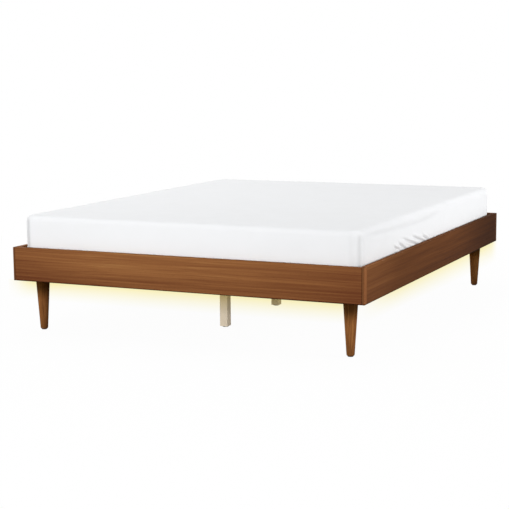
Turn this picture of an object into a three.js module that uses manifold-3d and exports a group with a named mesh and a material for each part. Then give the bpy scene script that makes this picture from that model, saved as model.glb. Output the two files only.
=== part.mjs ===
// A low platform bed for a 1600 x 2000 mattress, with a warm LED strip inside its lower edge.
// Millimetres, +Z up. The origin is on the floor under the middle of the bed. The foot end faces -Y.

import * as THREE from 'three';
import { mergeVertices } from 'three/addons/utils/BufferGeometryUtils.js';
import Module from 'manifold-3d';

const wasm = await Module();
wasm.setup();

// Mattress, which the frame is built round
const mattressWidth = 1600;
const mattressLength = 2000;
const mattressThickness = 196;
const mattressCornerRadius = 60;
const mattressTopRadius = 26;
const mattressBottomRadius = 16;
const mattressBulge = 3;
const mattressCrown = 5;
const mattressClearance = 10;

// Frame boards
const railBottomHeight = 233;
const boardHeight = 150;
const boardThickness = 25;
const boardEdgeRadius = 2;
const woodJointGap = 0.3;

// Solid lipping that closes the ends of the end panels
const lipThickness = 12;
const lipCornerRadius = 7;

// Turned legs
const legInset = 94;
const legTopDiameter = 65;
const legTipDiameter = 34;
const legTipRadius = 6;
const legGlideDiameter = 24;
const legGlideThickness = 3;
const legGlideEdgeRadius = 1;

// Corner blocks and the bolts that hold the legs
const blockSize = 110;
const blockChamfer = 30;
const blockLift = 19;
const legBoltDiameter = 8;
const legBoltInLeg = 50;
const legBoltTail = 6;
const legBoreClearance = 0.4;
const washerDiameter = 20;
const washerThickness = 2;
const nutAcrossFlats = 13;
const nutHeight = 7;
const nutRecessDiameter = 26;
const nutRecessDepth = 18;
const frameBoltHoleDiameter = 7;
const frameBoltHeadDiameter = 14;
const frameBoltHeadDepth = 8;
const frameBoltInset = 24;
const frameBoltLow = 12;
const frameBoltSpacing = 24;
const frameBoltStagger = 10;

// Slatted base
const slatTopDrop = 60;
const slatCount = 14;
const slatWidth = 70;
const slatThickness = 15;
const slatEdgeRadius = 3;
const slatSideGap = 5;
const slatEndGap = 8;
const ledgeWidth = 28;
const ledgeHeight = 36;
const ledgeEdgeRadius = 2;
const ledgeEndGap = 0.5;
const strapWidth = 25;
const strapThickness = 1.2;
const strapInset = 285;
const strapEndMargin = 5;

// Centre beam, its steel shoes and its posts
const beamThickness = 22;
const beamHeight = 56;
const beamEndGap = 3;
const beamOffset = 4;
const beamEdgeRadius = 2;
const shoeThickness = 2;
const shoeDepth = 42;
const shoeWallHeight = 50;
const shoeFlangeWidth = 24;
const shoeSideGap = 0.3;
const shoeScrewDiameter = 5;
const shoeScrewMargin = 15;
const postSize = 38;
const postPitch = 575;
const postCount = 3;
const postTongueHeight = 48;
const postEdgeRadius = 2;
const postBoltDiameter = 8.5;
const postBoltHeight = 28;
const postGlideDiameter = 30;
const postGlideThickness = 4;
const postGlideEdgeRadius = 1.5;

// LED strip in its silicone sleeve
const stripHeight = 12;
const stripThickness = 5;
const stripEdgeRadius = 1.5;
const stripLift = 3;
const stripBendRadius = 20;
const stripGap = 0.3;
const stripEndFromHead = 112;

// LED controller on the head panel
const caseLength = 90;
const caseHeight = 40;
const caseDepth = 24;
const caseWall = 2;
const caseCornerRadius = 5;
const caseEdgeRadius = 1.5;
const caseLift = 5;
const caseFromSide = 130;
const basePlateThickness = 2.5;
const earLength = 14;
const earWidth = 16;
const earHoleDiameter = 4.5;
const seamGap = 0.3;
const boardLength = 64;
const boardWidth = 30;
const circuitThickness = 1.6;
const boardPostDiameter = 6;
const boardPostHeight = 4;
const boardPostSpacing = 54;
const switchLength = 10;
const switchHeight = 7;
const chipLength = 14;
const chipWidth = 10;
const chipHeight = 2.5;
const buttonOffset = 22;
const buttonDiameter = 9;
const buttonStandOut = 1.5;
const buttonTravel = 1;
const buttonFlangeDiameter = 12;
const buttonFlangeThickness = 1.5;
const buttonStemDiameter = 4;
const buttonStemLength = 1.5;
const buttonClearance = 0.3;
const buttonEdgeRadius = 0.8;
const inletDiameter = 11;
const inletLength = 14;
const inletFlangeDiameter = 14.5;
const inletFlangeThickness = 2;
const inletBoreDiameter = 7;
const inletBoreDepth = 12;
const inletClearance = 0.3;

// Fitted sheet
const sheetThickness = 1.2;
const sheetGap = 0.4;
const sheetHem = 90;
const restGap = 0.3;

// How far a cutting shape runs past the face it cuts
const overrun = 5;

// Fineness of round shapes, in steps
const edgeSteps = 2;
const lipSteps = 4;
const legSteps = 32;
const boreSteps = 12;
const smallSteps = 16;
const caseSteps = 3;
const plumpArcSteps = 3;
const plumpSideSteps = 4;
const plumpCornerSteps = 4;
const plumpEdgeSteps = 5;
const crownShares = [0, 0.06, 0.2, 0.5];

// Places that follow from the sizes
const frameWidth = mattressWidth + 2 * (mattressClearance + boardThickness);
const frameLength = mattressLength + 2 * (mattressClearance + boardThickness);
const railTop = railBottomHeight + boardHeight;
const railMiddle = railBottomHeight + boardHeight / 2;
const innerHalfWidth = frameWidth / 2 - boardThickness;
const innerHalfLength = frameLength / 2 - boardThickness;
const slatTop = railTop - slatTopDrop;
const slatBottom = slatTop - slatThickness;
const blockBottom = railBottomHeight + blockLift;
const blockHeight = slatBottom - blockBottom;
const legLength = blockBottom - legGlideThickness;
const legCentreX = frameWidth / 2 - legInset;
const legCentreY = frameLength / 2 - legInset;
const beamBottom = slatBottom - beamHeight;
const sheetBottom = slatTop + strapThickness + restGap;
const mattressBottom = sheetBottom + sheetThickness + sheetGap;

const axisX = new THREE.Vector3(1, 0, 0);
const axisY = new THREE.Vector3(0, 1, 0);
const axisZ = new THREE.Vector3(0, 0, 1);
const alongX = new THREE.Matrix4().makeBasis(axisY, axisZ, axisX);
const alongY = new THREE.Matrix4().makeBasis(axisZ, axisX, axisY);
const alongZ = new THREE.Matrix4();

// Materials
function finish(color, roughness, metalness) {
  return new THREE.MeshStandardMaterial({ color, roughness, metalness });
}

const walnutVeneer = finish(0x86583a, 0.45, 0);
const walnutLipping = finish(0x8c6345, 0.45, 0);
const walnutTurned = finish(0x784b2b, 0.42, 0);
const pine = finish(0xd8bf94, 0.7, 0);
const paleBeech = finish(0xc2ae92, 0.6, 0);
const zincSteel = finish(0xb4b8bc, 0.35, 1);
const blackPlastic = finish(0x262423, 0.5, 0);
const greyPlastic = finish(0x6d6f72, 0.5, 0);
const circuitGreen = finish(0x1f5a37, 0.5, 0);
const nylonWebbing = finish(0xe9e7e1, 0.85, 0);
const milkySilicone = finish(0xfff2cc, 0.4, 0);
const mattressTicking = finish(0xe8e6e2, 0.9, 0);
const whiteCotton = finish(0xf4f4f6, 0.9, 0);

// Solid geometry
function toSolid(geometry) {
  const bare = geometry.clone();
  bare.deleteAttribute('normal');
  bare.deleteAttribute('uv');
  const merged = mergeVertices(bare);
  return new wasm.Manifold(new wasm.Mesh({
    numProp: 3,
    vertProperties: merged.attributes.position.array,
    triVerts: Uint32Array.from(merged.index.array),
  }));
}

function toGeometry(solid) {
  const mesh = solid.getMesh();
  const geometry = new THREE.BufferGeometry();
  geometry.setAttribute('position', new THREE.BufferAttribute(mesh.vertProperties, mesh.numProp));
  geometry.setIndex(new THREE.BufferAttribute(mesh.triVerts, 1));
  geometry.computeVertexNormals();
  return geometry;
}

function join(first, ...others) {
  return toGeometry(others.reduce((solid, other) => solid.add(toSolid(other)), toSolid(first)));
}

function cut(first, ...tools) {
  return toGeometry(tools.reduce((solid, tool) => solid.subtract(toSolid(tool)), toSolid(first)));
}

function shared(first, ...others) {
  return toGeometry(others.reduce((solid, other) => solid.intersect(toSolid(other)), toSolid(first)));
}

// A rectangle about its own centre, with round corners
function roundedRectangle(width, height, radius) {
  const shape = new THREE.Shape();
  const x = width / 2 - radius;
  const y = height / 2 - radius;
  shape.absarc(x, y, radius, 0, Math.PI / 2);
  shape.absarc(-x, y, radius, Math.PI / 2, Math.PI);
  shape.absarc(-x, -y, radius, Math.PI, Math.PI * 1.5);
  shape.absarc(x, -y, radius, Math.PI * 1.5, Math.PI * 2);
  return shape;
}

// A shape drawn out to a length, centred on its own middle, along one of the three axes
function drawnOut(shape, length, direction, curveSegments = edgeSteps) {
  const geometry = new THREE.ExtrudeGeometry(shape, { depth: length, bevelEnabled: false, curveSegments });
  geometry.translate(0, 0, -length / 2);
  return geometry.applyMatrix4(direction);
}

function polygon(points) {
  return new THREE.Shape(points.map(([x, y]) => new THREE.Vector2(x, y)));
}

// A body turned about Z from a profile of radius and height
function turned(points, steps) {
  const profile = points.map(([radius, height]) => new THREE.Vector2(radius, height));
  return new THREE.LatheGeometry(profile, steps).rotateX(Math.PI / 2);
}

// A round bar about Z, centred on its own middle
function bar(diameter, length, steps = boreSteps) {
  return new THREE.CylinderGeometry(diameter / 2, diameter / 2, length, steps).rotateX(Math.PI / 2);
}

// Points of a quarter circle, as radius and height, from one angle to another
function arcPoints(centreRadius, centreHeight, radius, fromAngle, toAngle, steps) {
  const points = [];
  for (let i = 0; i <= steps; i += 1) {
    const angle = fromAngle + ((toAngle - fromAngle) * i) / steps;
    points.push([centreRadius + radius * Math.cos(angle), centreHeight + radius * Math.sin(angle)]);
  }
  return points;
}

function piece(name, geometry, material, x = 0, y = 0, z = 0) {
  const mesh = new THREE.Mesh(geometry, material);
  mesh.name = name;
  mesh.position.set(x, y, z);
  return mesh;
}

const corners = [
  { name: 'foot_left', sideX: -1, sideY: -1 },
  { name: 'foot_right', sideX: 1, sideY: -1 },
  { name: 'head_left', sideX: -1, sideY: 1 },
  { name: 'head_right', sideX: 1, sideY: 1 },
];

// A whole end panel with its lipping: long edges eased, upright outer corners rounded
function endPanelBlank(outside) {
  const section = drawnOut(
    roundedRectangle(boardThickness, boardHeight, boardEdgeRadius), frameWidth, alongX);
  const face = drawnOut(
    roundedRectangle(boardHeight, frameWidth, boardEdgeRadius), boardThickness, alongY);
  const outer = outside * boardThickness / 2;
  const bend = outer - outside * lipCornerRadius;
  const half = frameWidth / 2;
  const plan = new THREE.Shape();
  plan.moveTo(-half, -outer);
  plan.lineTo(-half, bend);
  plan.absarc(-half + lipCornerRadius, bend, lipCornerRadius, Math.PI, outside * Math.PI / 2, outside > 0);
  plan.lineTo(half - lipCornerRadius, outer);
  plan.absarc(half - lipCornerRadius, bend, lipCornerRadius, outside * Math.PI / 2, 0, outside > 0);
  plan.lineTo(half, -outer);
  return shared(section, face, drawnOut(plan, boardHeight, alongZ, lipSteps));
}

function endPanels() {
  const group = new THREE.Group();
  const panelWidth = frameWidth - 2 * (lipThickness + woodJointGap);
  const middle = new THREE.BoxGeometry(panelWidth, boardThickness + overrun, boardHeight + overrun);
  for (const [end, outside] of [['foot', -1], ['head', 1]]) {
    const blank = endPanelBlank(outside);
    const y = outside * (frameLength - boardThickness) / 2;
    group.add(piece(`${end}_panel`, shared(blank, middle), walnutVeneer, 0, y, railMiddle));
    for (const [side, sign] of [['left', -1], ['right', 1]]) {
      const keep = new THREE.BoxGeometry(lipThickness, boardThickness + overrun, boardHeight + overrun);
      keep.translate(sign * (frameWidth - lipThickness) / 2, 0, 0);
      const lip = shared(blank, keep);
      group.add(piece(`corner_lip_${end}_${side}`, lip, walnutLipping, 0, y, railMiddle));
    }
  }
  return group;
}

function sideRails() {
  const group = new THREE.Group();
  const section = roundedRectangle(boardHeight, boardThickness, boardEdgeRadius);
  const length = 2 * (innerHalfLength - woodJointGap);
  for (const [side, sign] of [['left', -1], ['right', 1]]) {
    const x = sign * (frameWidth - boardThickness) / 2;
    group.add(piece(`side_rail_${side}`, drawnOut(section, length, alongY), walnutVeneer, x, 0, railMiddle));
  }
  return group;
}

// A corner block lies against both boards. Its bolts run into the boards, and the leg's bolt passes
// through it to a nut in a recess on top. Drawn for the corner with its boards at -X and -Y.
function cornerBlockGeometry() {
  const near = blockSize - blockChamfer;
  const outline = polygon([[0, 0], [blockSize, 0], [blockSize, near], [near, blockSize], [0, blockSize]]);
  const block = drawnOut(outline, blockHeight, alongZ).translate(0, 0, blockHeight / 2);
  const legPlace = legInset - boardThickness - woodJointGap;
  const through = legBoltDiameter + 2 * legBoreClearance;
  const tools = [
    bar(through, blockHeight + 2 * overrun).translate(legPlace, legPlace, blockHeight / 2),
    bar(nutRecessDiameter, nutRecessDepth + overrun, smallSteps)
      .translate(legPlace, legPlace, blockHeight + (overrun - nutRecessDepth) / 2),
  ];
  for (const step of [0, 1]) {
    const toSide = frameBoltLow + step * frameBoltSpacing;
    const toEnd = toSide + frameBoltStagger;
    const headPlace = blockSize + (overrun - frameBoltHeadDepth) / 2;
    tools.push(
      bar(frameBoltHoleDiameter, blockSize + 2 * overrun).rotateY(Math.PI / 2)
        .translate(blockSize / 2, frameBoltInset, toSide),
      bar(frameBoltHeadDiameter, frameBoltHeadDepth + overrun).rotateY(Math.PI / 2)
        .translate(headPlace, frameBoltInset, toSide),
      bar(frameBoltHoleDiameter, blockSize + 2 * overrun).rotateX(Math.PI / 2)
        .translate(frameBoltInset, blockSize / 2, toEnd),
      bar(frameBoltHeadDiameter, frameBoltHeadDepth + overrun).rotateX(Math.PI / 2)
        .translate(frameBoltInset, headPlace, toEnd),
    );
  }
  return cut(block, ...tools);
}

// The block of a corner whose boards are on the other sides is the mirror image of the drawn one
function mirrored(geometry, signX, signY) {
  const result = geometry.clone().scale(signX, signY, 1);
  if (signX * signY < 0) {
    const index = result.index.array;
    for (let i = 0; i < index.length; i += 3) {
      [index[i], index[i + 1]] = [index[i + 1], index[i]];
    }
  }
  result.computeVertexNormals();
  return result;
}

function cornerBlocks() {
  const group = new THREE.Group();
  const drawn = cornerBlockGeometry();
  const placeX = innerHalfWidth - woodJointGap;
  const placeY = innerHalfLength - woodJointGap;
  for (const { name, sideX, sideY } of corners) {
    group.add(piece(`corner_block_${name}`, mirrored(drawn, -sideX, -sideY), pine,
      sideX * placeX, sideY * placeY, blockBottom));
  }
  return group;
}

// A turned leg: a straight taper to a rounded tip, bored at its top for the hanger bolt
function legGeometry() {
  const bore = legBoltDiameter / 2 + legBoreClearance;
  const tip = legTipDiameter / 2;
  const boreFloor = legLength - legBoltInLeg - legBoreClearance;
  return turned([
    [0, 0],
    ...arcPoints(tip - legTipRadius, legTipRadius, legTipRadius, -Math.PI / 2, 0, edgeSteps + 1),
    [legTopDiameter / 2, legLength],
    [bore, legLength],
    [bore, boreFloor],
    [0, boreFloor],
  ], legSteps);
}

// The hanger bolt with its washer and nut, from the blind end in the leg to the tail above the nut
function legBoltGeometry() {
  const radius = legBoltDiameter / 2;
  const washerBottom = blockHeight - nutRecessDepth + restGap;
  const washerTop = washerBottom + washerThickness;
  const boltTop = washerTop + nutHeight + legBoltTail;
  const stud = turned([
    [0, -legBoltInLeg],
    [radius, -legBoltInLeg],
    [radius, washerBottom],
    [washerDiameter / 2, washerBottom],
    [washerDiameter / 2, washerTop],
    [radius, washerTop],
    [radius, boltTop],
    [0, boltTop],
  ], boreSteps);
  const nutRadius = nutAcrossFlats / 2 / Math.cos(Math.PI / 6);
  const nut = new THREE.CylinderGeometry(nutRadius, nutRadius, nutHeight + washerThickness / 2, 6);
  nut.rotateX(Math.PI / 2).translate(0, 0, washerTop + (nutHeight - washerThickness / 2) / 2);
  return join(stud, nut);
}

// A nail-on glide: a shallow disc with its lower edge rounded
function glideGeometry(diameter, thickness, edgeRadius) {
  const radius = diameter / 2;
  return turned([
    [0, 0],
    ...arcPoints(radius - edgeRadius, edgeRadius, edgeRadius, -Math.PI / 2, 0, edgeSteps),
    [radius, thickness],
    [0, thickness],
  ], smallSteps);
}

function legs() {
  const group = new THREE.Group();
  const leg = legGeometry();
  const bolt = legBoltGeometry();
  const glide = glideGeometry(legGlideDiameter, legGlideThickness, legGlideEdgeRadius);
  for (const { name, sideX, sideY } of corners) {
    const x = sideX * legCentreX;
    const y = sideY * legCentreY;
    group.add(piece(`leg_${name}`, leg, walnutTurned, x, y, legGlideThickness));
    group.add(piece(`leg_bolt_${name}`, bolt, zincSteel, x, y, blockBottom));
    group.add(piece(`leg_glide_${name}`, glide, blackPlastic, x, y, 0));
  }
  return group;
}

// The two ledges run from block to block, with their tops level with the blocks
function slatLedges() {
  const group = new THREE.Group();
  const section = roundedRectangle(ledgeHeight, ledgeWidth, ledgeEdgeRadius);
  const length = 2 * (innerHalfLength - woodJointGap - blockSize - ledgeEndGap);
  const ledge = drawnOut(section, length, alongY);
  const x = innerHalfWidth - woodJointGap - ledgeWidth / 2;
  const z = slatBottom - ledgeHeight / 2;
  group.add(piece('slat_ledge_left', ledge, pine, -x, 0, z));
  group.add(piece('slat_ledge_right', ledge, pine, x, 0, z));
  return group;
}

function slats() {
  const group = new THREE.Group();
  const length = 2 * (innerHalfWidth - slatSideGap);
  const slat = drawnOut(roundedRectangle(slatWidth, slatThickness, slatEdgeRadius), length, alongX);
  const lastCentre = innerHalfLength - slatEndGap - slatWidth / 2;
  const pitch = (2 * lastCentre) / (slatCount - 1);
  for (let i = 0; i < slatCount; i += 1) {
    const name = `slat_${String(i + 1).padStart(2, '0')}`;
    group.add(piece(name, slat, pine, 0, -lastCentre + i * pitch, slatTop - slatThickness / 2));
  }
  const strapLength = 2 * (lastCentre + slatWidth / 2 - strapEndMargin);
  const strap = new THREE.BoxGeometry(strapWidth, strapLength, strapThickness);
  const strapX = innerHalfWidth - strapInset;
  group.add(piece('slat_strap_left', strap, nylonWebbing, -strapX, 0, slatTop + strapThickness / 2));
  group.add(piece('slat_strap_right', strap, nylonWebbing, strapX, 0, slatTop + strapThickness / 2));
  return group;
}

function postPlaces() {
  return Array.from({ length: postCount }, (_, i) => (i - (postCount - 1) / 2) * postPitch);
}

// The beam stands on edge and is drilled where each post's tongue is bolted to it
function centreBeam() {
  const section = roundedRectangle(beamHeight, beamThickness, beamEdgeRadius);
  const length = 2 * (innerHalfLength - beamEndGap);
  const holes = postPlaces().map((y) => bar(postBoltDiameter, beamThickness + 2 * overrun)
    .rotateY(Math.PI / 2).translate(0, y, postBoltHeight - beamHeight / 2));
  const beam = cut(drawnOut(section, length, alongY), ...holes);
  return piece('centre_beam', beam, pine, beamOffset, 0, beamBottom + beamHeight / 2);
}

// A folded steel shoe: a channel under and beside the beam, and two flanges screwed to the panel.
// Drawn with the panel's face at Y = 0 and the beam's underside at Z = 0.
function beamShoeGeometry() {
  const inner = beamThickness / 2 + shoeSideGap;
  const outer = inner + shoeThickness;
  const top = shoeWallHeight;
  const floor = -restGap;
  const channel = polygon([
    [floor - shoeThickness, -outer], [top, -outer], [top, -inner], [floor, -inner],
    [floor, inner], [top, inner], [top, outer], [floor - shoeThickness, outer],
  ]);
  const walls = drawnOut(channel, shoeDepth, alongY).translate(0, shoeDepth / 2, 0);
  const height = top - floor + shoeThickness;
  const middle = (top + floor - shoeThickness) / 2;
  const parts = [];
  const holes = [];
  for (const side of [-1, 1]) {
    const flange = new THREE.BoxGeometry(shoeFlangeWidth + shoeThickness, shoeThickness, height);
    const flangeX = side * (inner + (shoeFlangeWidth + shoeThickness) / 2);
    parts.push(flange.translate(flangeX, shoeThickness / 2, middle));
    for (const end of [-1, 1]) {
      const hole = bar(shoeScrewDiameter, shoeThickness + 2 * overrun).rotateX(Math.PI / 2);
      const screwX = side * (outer + shoeFlangeWidth / 2);
      holes.push(hole.translate(screwX, shoeThickness / 2, middle + end * (height / 2 - shoeScrewMargin)));
    }
  }
  return cut(join(walls, ...parts), ...holes);
}

function beamShoes() {
  const group = new THREE.Group();
  const shoe = beamShoeGeometry();
  const y = innerHalfLength - restGap;
  group.add(piece('beam_hanger_foot', shoe, zincSteel, beamOffset, -y, beamBottom));
  group.add(piece('beam_hanger_head', mirrored(shoe, 1, -1), zincSteel, beamOffset, y, beamBottom));
  return group;
}

// A post is lapped: its shoulder carries the beam, and its tongue stands beside it and is bolted through
function postGeometry() {
  const half = postSize / 2;
  const shoulder = beamBottom - postGlideThickness - restGap;
  const tongueInner = half - beamThickness - restGap;
  const column = drawnOut(roundedRectangle(postSize, postSize, postEdgeRadius),
    shoulder + postTongueHeight, alongZ).translate(0, 0, (shoulder + postTongueHeight) / 2);
  const lap = new THREE.BoxGeometry(postSize, postSize + 2 * overrun, postTongueHeight + overrun);
  lap.translate(tongueInner + half, 0, shoulder + (postTongueHeight + overrun) / 2);
  const hole = bar(postBoltDiameter, postSize + 2 * overrun).rotateY(Math.PI / 2);
  hole.translate(0, 0, beamBottom - postGlideThickness + postBoltHeight);
  return cut(column, lap, hole);
}

function posts() {
  const group = new THREE.Group();
  const post = postGeometry();
  const glide = glideGeometry(postGlideDiameter, postGlideThickness, postGlideEdgeRadius);
  const x = beamOffset - (postSize - beamThickness) / 2;
  postPlaces().forEach((y, i) => {
    group.add(piece(`support_post_${i + 1}`, post, paleBeech, x, y, postGlideThickness));
    group.add(piece(`post_glide_${i + 1}`, glide, blackPlastic, x, y, 0));
  });
  return group;
}

// One flexible strip: from the controller round the head's right corner, down the right rail, along
// the foot and up the left rail. Its plan is a band that is bent at three corners.
function ledStrip() {
  const x = innerHalfWidth - stripGap;
  const y = innerHalfLength - stripGap;
  const startX = innerHalfWidth - caseFromSide + restGap;
  const endY = innerHalfLength - stripEndFromHead;
  const outer = stripBendRadius;
  const inner = stripBendRadius - stripThickness;
  const bendX = x - stripBendRadius;
  const bendY = y - stripBendRadius;
  const quarter = Math.PI / 2;
  const band = new THREE.Shape();
  band.moveTo(startX, y);
  band.absarc(bendX, bendY, outer, quarter, 0, true);
  band.absarc(bendX, -bendY, outer, 0, -quarter, true);
  band.absarc(-bendX, -bendY, outer, -quarter, -2 * quarter, true);
  band.lineTo(-x, endY);
  band.lineTo(-x + stripThickness, endY);
  band.absarc(-bendX, -bendY, inner, -2 * quarter, -quarter, false);
  band.absarc(bendX, -bendY, inner, -quarter, 0, false);
  band.absarc(bendX, bendY, inner, 0, quarter, false);
  band.lineTo(startX, y - stripThickness);
  const geometry = new THREE.ExtrudeGeometry(band, {
    depth: stripHeight - 2 * stripEdgeRadius,
    bevelThickness: stripEdgeRadius,
    bevelSize: stripEdgeRadius,
    bevelOffset: -stripEdgeRadius,
    bevelSegments: 2,
    curveSegments: lipSteps,
  });
  geometry.translate(0, 0, stripEdgeRadius);
  return piece('led_strip', geometry, milkySilicone, 0, 0, railBottomHeight + stripLift);
}

// The controller is drawn with X along it, Y up and Z out of the head panel's inner face
const caseBack = basePlateThickness + seamGap;
const caseMiddle = (caseBack + caseDepth) / 2;
const innerBottom = -caseHeight / 2 + caseWall;

function controllerBase() {
  const plate = drawnOut(roundedRectangle(caseLength, caseHeight, caseCornerRadius),
    basePlateThickness, alongZ, caseSteps);
  const ears = drawnOut(roundedRectangle(caseLength + 2 * earLength, earWidth, caseCornerRadius),
    basePlateThickness, alongZ, caseSteps);
  const pillars = [];
  const holes = [];
  for (const side of [-1, 1]) {
    const pillar = bar(boardPostDiameter, boardPostHeight + basePlateThickness);
    pillars.push(pillar.translate(side * boardPostSpacing / 2, 0, boardPostHeight / 2));
    const hole = bar(earHoleDiameter, basePlateThickness + 2 * overrun);
    holes.push(hole.translate(side * (caseLength + earLength) / 2, 0, 0));
  }
  const base = cut(join(plate, ears, ...pillars), ...holes);
  return piece('led_controller_base', base, greyPlastic, 0, 0, basePlateThickness / 2);
}

function roundedCase(length, height, depth, radius) {
  const geometry = new THREE.ExtrudeGeometry(roundedRectangle(length, height, radius), {
    depth: depth - caseEdgeRadius,
    bevelThickness: caseEdgeRadius,
    bevelSize: caseEdgeRadius,
    bevelOffset: -caseEdgeRadius,
    bevelSegments: 2,
    curveSegments: caseSteps,
  });
  return geometry;
}

function controllerCover() {
  const depth = caseDepth - caseBack;
  const shell = roundedCase(caseLength, caseHeight, depth, caseCornerRadius);
  const keep = new THREE.BoxGeometry(caseLength + overrun, caseHeight + overrun, depth);
  keep.translate(0, 0, depth / 2);
  const hollow = drawnOut(roundedRectangle(caseLength - 2 * caseWall, caseHeight - 2 * caseWall,
    caseCornerRadius - caseWall), depth - caseWall + overrun, alongZ, caseSteps);
  hollow.translate(0, 0, (depth - caseWall - overrun) / 2);
  const buttonHole = bar(buttonDiameter + 2 * buttonClearance, caseWall + 2 * overrun, smallSteps);
  buttonHole.rotateX(Math.PI / 2).translate(-buttonOffset, -caseHeight / 2, caseMiddle - caseBack);
  const inletHole = bar(inletDiameter + 2 * inletClearance, caseWall + 2 * overrun, smallSteps);
  inletHole.rotateY(Math.PI / 2).translate(-caseLength / 2, 0, caseMiddle - caseBack);
  const cover = cut(shared(shell, keep), hollow, buttonHole, inletHole);
  return piece('led_controller_cover', cover, blackPlastic, 0, 0, caseBack);
}

// The circuit board carries the push switch over the button, and one chip
function controllerBoard() {
  const back = basePlateThickness + boardPostHeight + seamGap;
  const front = back + circuitThickness;
  const sheet = new THREE.BoxGeometry(boardLength, boardWidth, circuitThickness);
  const switchDepth = caseMiddle + buttonStemDiameter / 2 - front;
  const plunger = innerBottom + buttonClearance + buttonFlangeThickness + buttonStemLength
    + buttonTravel + buttonClearance;
  const pushSwitch = new THREE.BoxGeometry(switchLength, switchHeight, switchDepth + circuitThickness);
  pushSwitch.translate(-buttonOffset, plunger + switchHeight / 2, switchDepth / 2);
  const chip = new THREE.BoxGeometry(chipLength, chipWidth, chipHeight + circuitThickness);
  chip.translate(chipLength, 0, chipHeight / 2);
  const board = join(sheet, pushSwitch, chip);
  return piece('led_controller_board', board, circuitGreen, 0, 0, back + circuitThickness / 2);
}

// The button hangs by its flange inside the case, and its cap stands out below
function controllerButton() {
  const cap = buttonDiameter / 2;
  const flange = buttonFlangeDiameter / 2;
  const stem = buttonStemDiameter / 2;
  const capBottom = -caseWall - buttonStandOut;
  const flangeTop = buttonClearance + buttonFlangeThickness;
  const button = turned([
    [0, capBottom],
    ...arcPoints(cap - buttonEdgeRadius, capBottom + buttonEdgeRadius, buttonEdgeRadius,
      -Math.PI / 2, 0, edgeSteps),
    [cap, buttonClearance],
    [flange, buttonClearance],
    [flange, flangeTop],
    [stem, flangeTop],
    [stem, flangeTop + buttonStemLength],
    [0, flangeTop + buttonStemLength],
  ], smallSteps).rotateX(-Math.PI / 2);
  return piece('led_button', button, greyPlastic, -buttonOffset, innerBottom, caseMiddle);
}

// The low-voltage inlet: a flanged barrel with a blind bore, at the end away from the strip
function powerInlet() {
  const barrel = inletDiameter / 2;
  const flange = inletFlangeDiameter / 2;
  const bore = inletBoreDiameter / 2;
  const face = inletFlangeThickness + inletClearance;
  const inlet = turned([
    [0, face - inletLength],
    [barrel, face - inletLength],
    [barrel, inletClearance],
    [flange, inletClearance],
    [flange, face],
    [bore, face],
    [bore, face - inletBoreDepth],
    [0, face - inletBoreDepth],
  ], smallSteps).rotateY(-Math.PI / 2);
  return piece('power_inlet', inlet, blackPlastic, -caseLength / 2, 0, caseMiddle);
}

function controller() {
  const group = new THREE.Group();
  group.add(controllerBase(), controllerCover(), controllerBoard(), controllerButton(), powerInlet());
  group.rotation.x = Math.PI / 2;
  const x = innerHalfWidth - caseFromSide - caseLength / 2;
  group.position.set(x, innerHalfLength - restGap, railBottomHeight + caseLift + caseHeight / 2);
  return group;
}

// The mattress and the sheet share one profile. Each point holds how far it lies inside the nominal
// side, its height above the mattress's underside, and the share of the side's bulge that it takes.
function plumpProfile() {
  const points = [];
  const low = mattressBottomRadius;
  const high = mattressTopRadius;
  for (const [inset, height] of arcPoints(low, low, low, -Math.PI / 2, -Math.PI, plumpArcSteps)) {
    points.push({ inset, height, bulgeShare: 0 });
  }
  const sideHeight = mattressThickness - low - high;
  for (let i = 1; i < plumpSideSteps; i += 1) {
    const share = i / plumpSideSteps;
    points.push({ inset: 0, height: low + sideHeight * share, bulgeShare: Math.sin(Math.PI * share) });
  }
  const top = mattressThickness - high;
  for (const [inset, height] of arcPoints(high, top, high, Math.PI, Math.PI / 2, plumpArcSteps + 1)) {
    points.push({ inset, height, bulgeShare: 0 });
  }
  return points;
}

// The outline at one inset, with the bulge fading out towards the corners
function plumpOutline(inset, bulge) {
  const points = [];
  const radius = Math.max(mattressCornerRadius - inset, mattressBottomRadius);
  const straightX = mattressWidth / 2 - inset - radius;
  const straightY = mattressLength / 2 - inset - radius;
  const quarters = [[1, 1], [-1, 1], [-1, -1], [1, -1]];
  quarters.forEach(([sideX, sideY], q) => {
    for (let i = 0; i <= plumpCornerSteps; i += 1) {
      const angle = (q + i / plumpCornerSteps) * (Math.PI / 2);
      const x = sideX * straightX + radius * Math.cos(angle);
      points.push([x, sideY * straightY + radius * Math.sin(angle)]);
    }
    const alongTheEnd = q % 2 === 0;
    for (let i = 1; i < plumpEdgeSteps; i += 1) {
      const share = i / plumpEdgeSteps;
      const swell = bulge * Math.sin(Math.PI * share);
      const run = 1 - 2 * share;
      points.push(alongTheEnd
        ? [sideX * straightX * run, sideY * (straightY + radius + swell)]
        : [sideX * (straightX + radius + swell), sideY * straightY * run]);
    }
  });
  return points;
}

// Rings of the profile set off outwards by a distance, from the underside to the middle of the top
function plumpRings(offset, profile) {
  const rings = profile.map((point, i) => {
    const before = profile[Math.max(i - 1, 0)];
    const after = profile[Math.min(i + 1, profile.length - 1)];
    const run = new THREE.Vector2(after.inset - before.inset, after.height - before.height).normalize();
    const inset = point.inset - offset * run.y;
    const height = point.height + offset * run.x;
    return plumpOutline(inset, point.bulgeShare * mattressBulge).map(([x, y]) => [x, y, height]);
  });
  const rim = rings.pop();
  for (const share of crownShares) {
    const height = mattressThickness + mattressCrown * (1 - (1 - share) ** 2) + offset;
    rings.push(rim.map(([x, y]) => [x * (1 - share), y * (1 - share), height]));
  }
  return rings;
}

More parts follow.
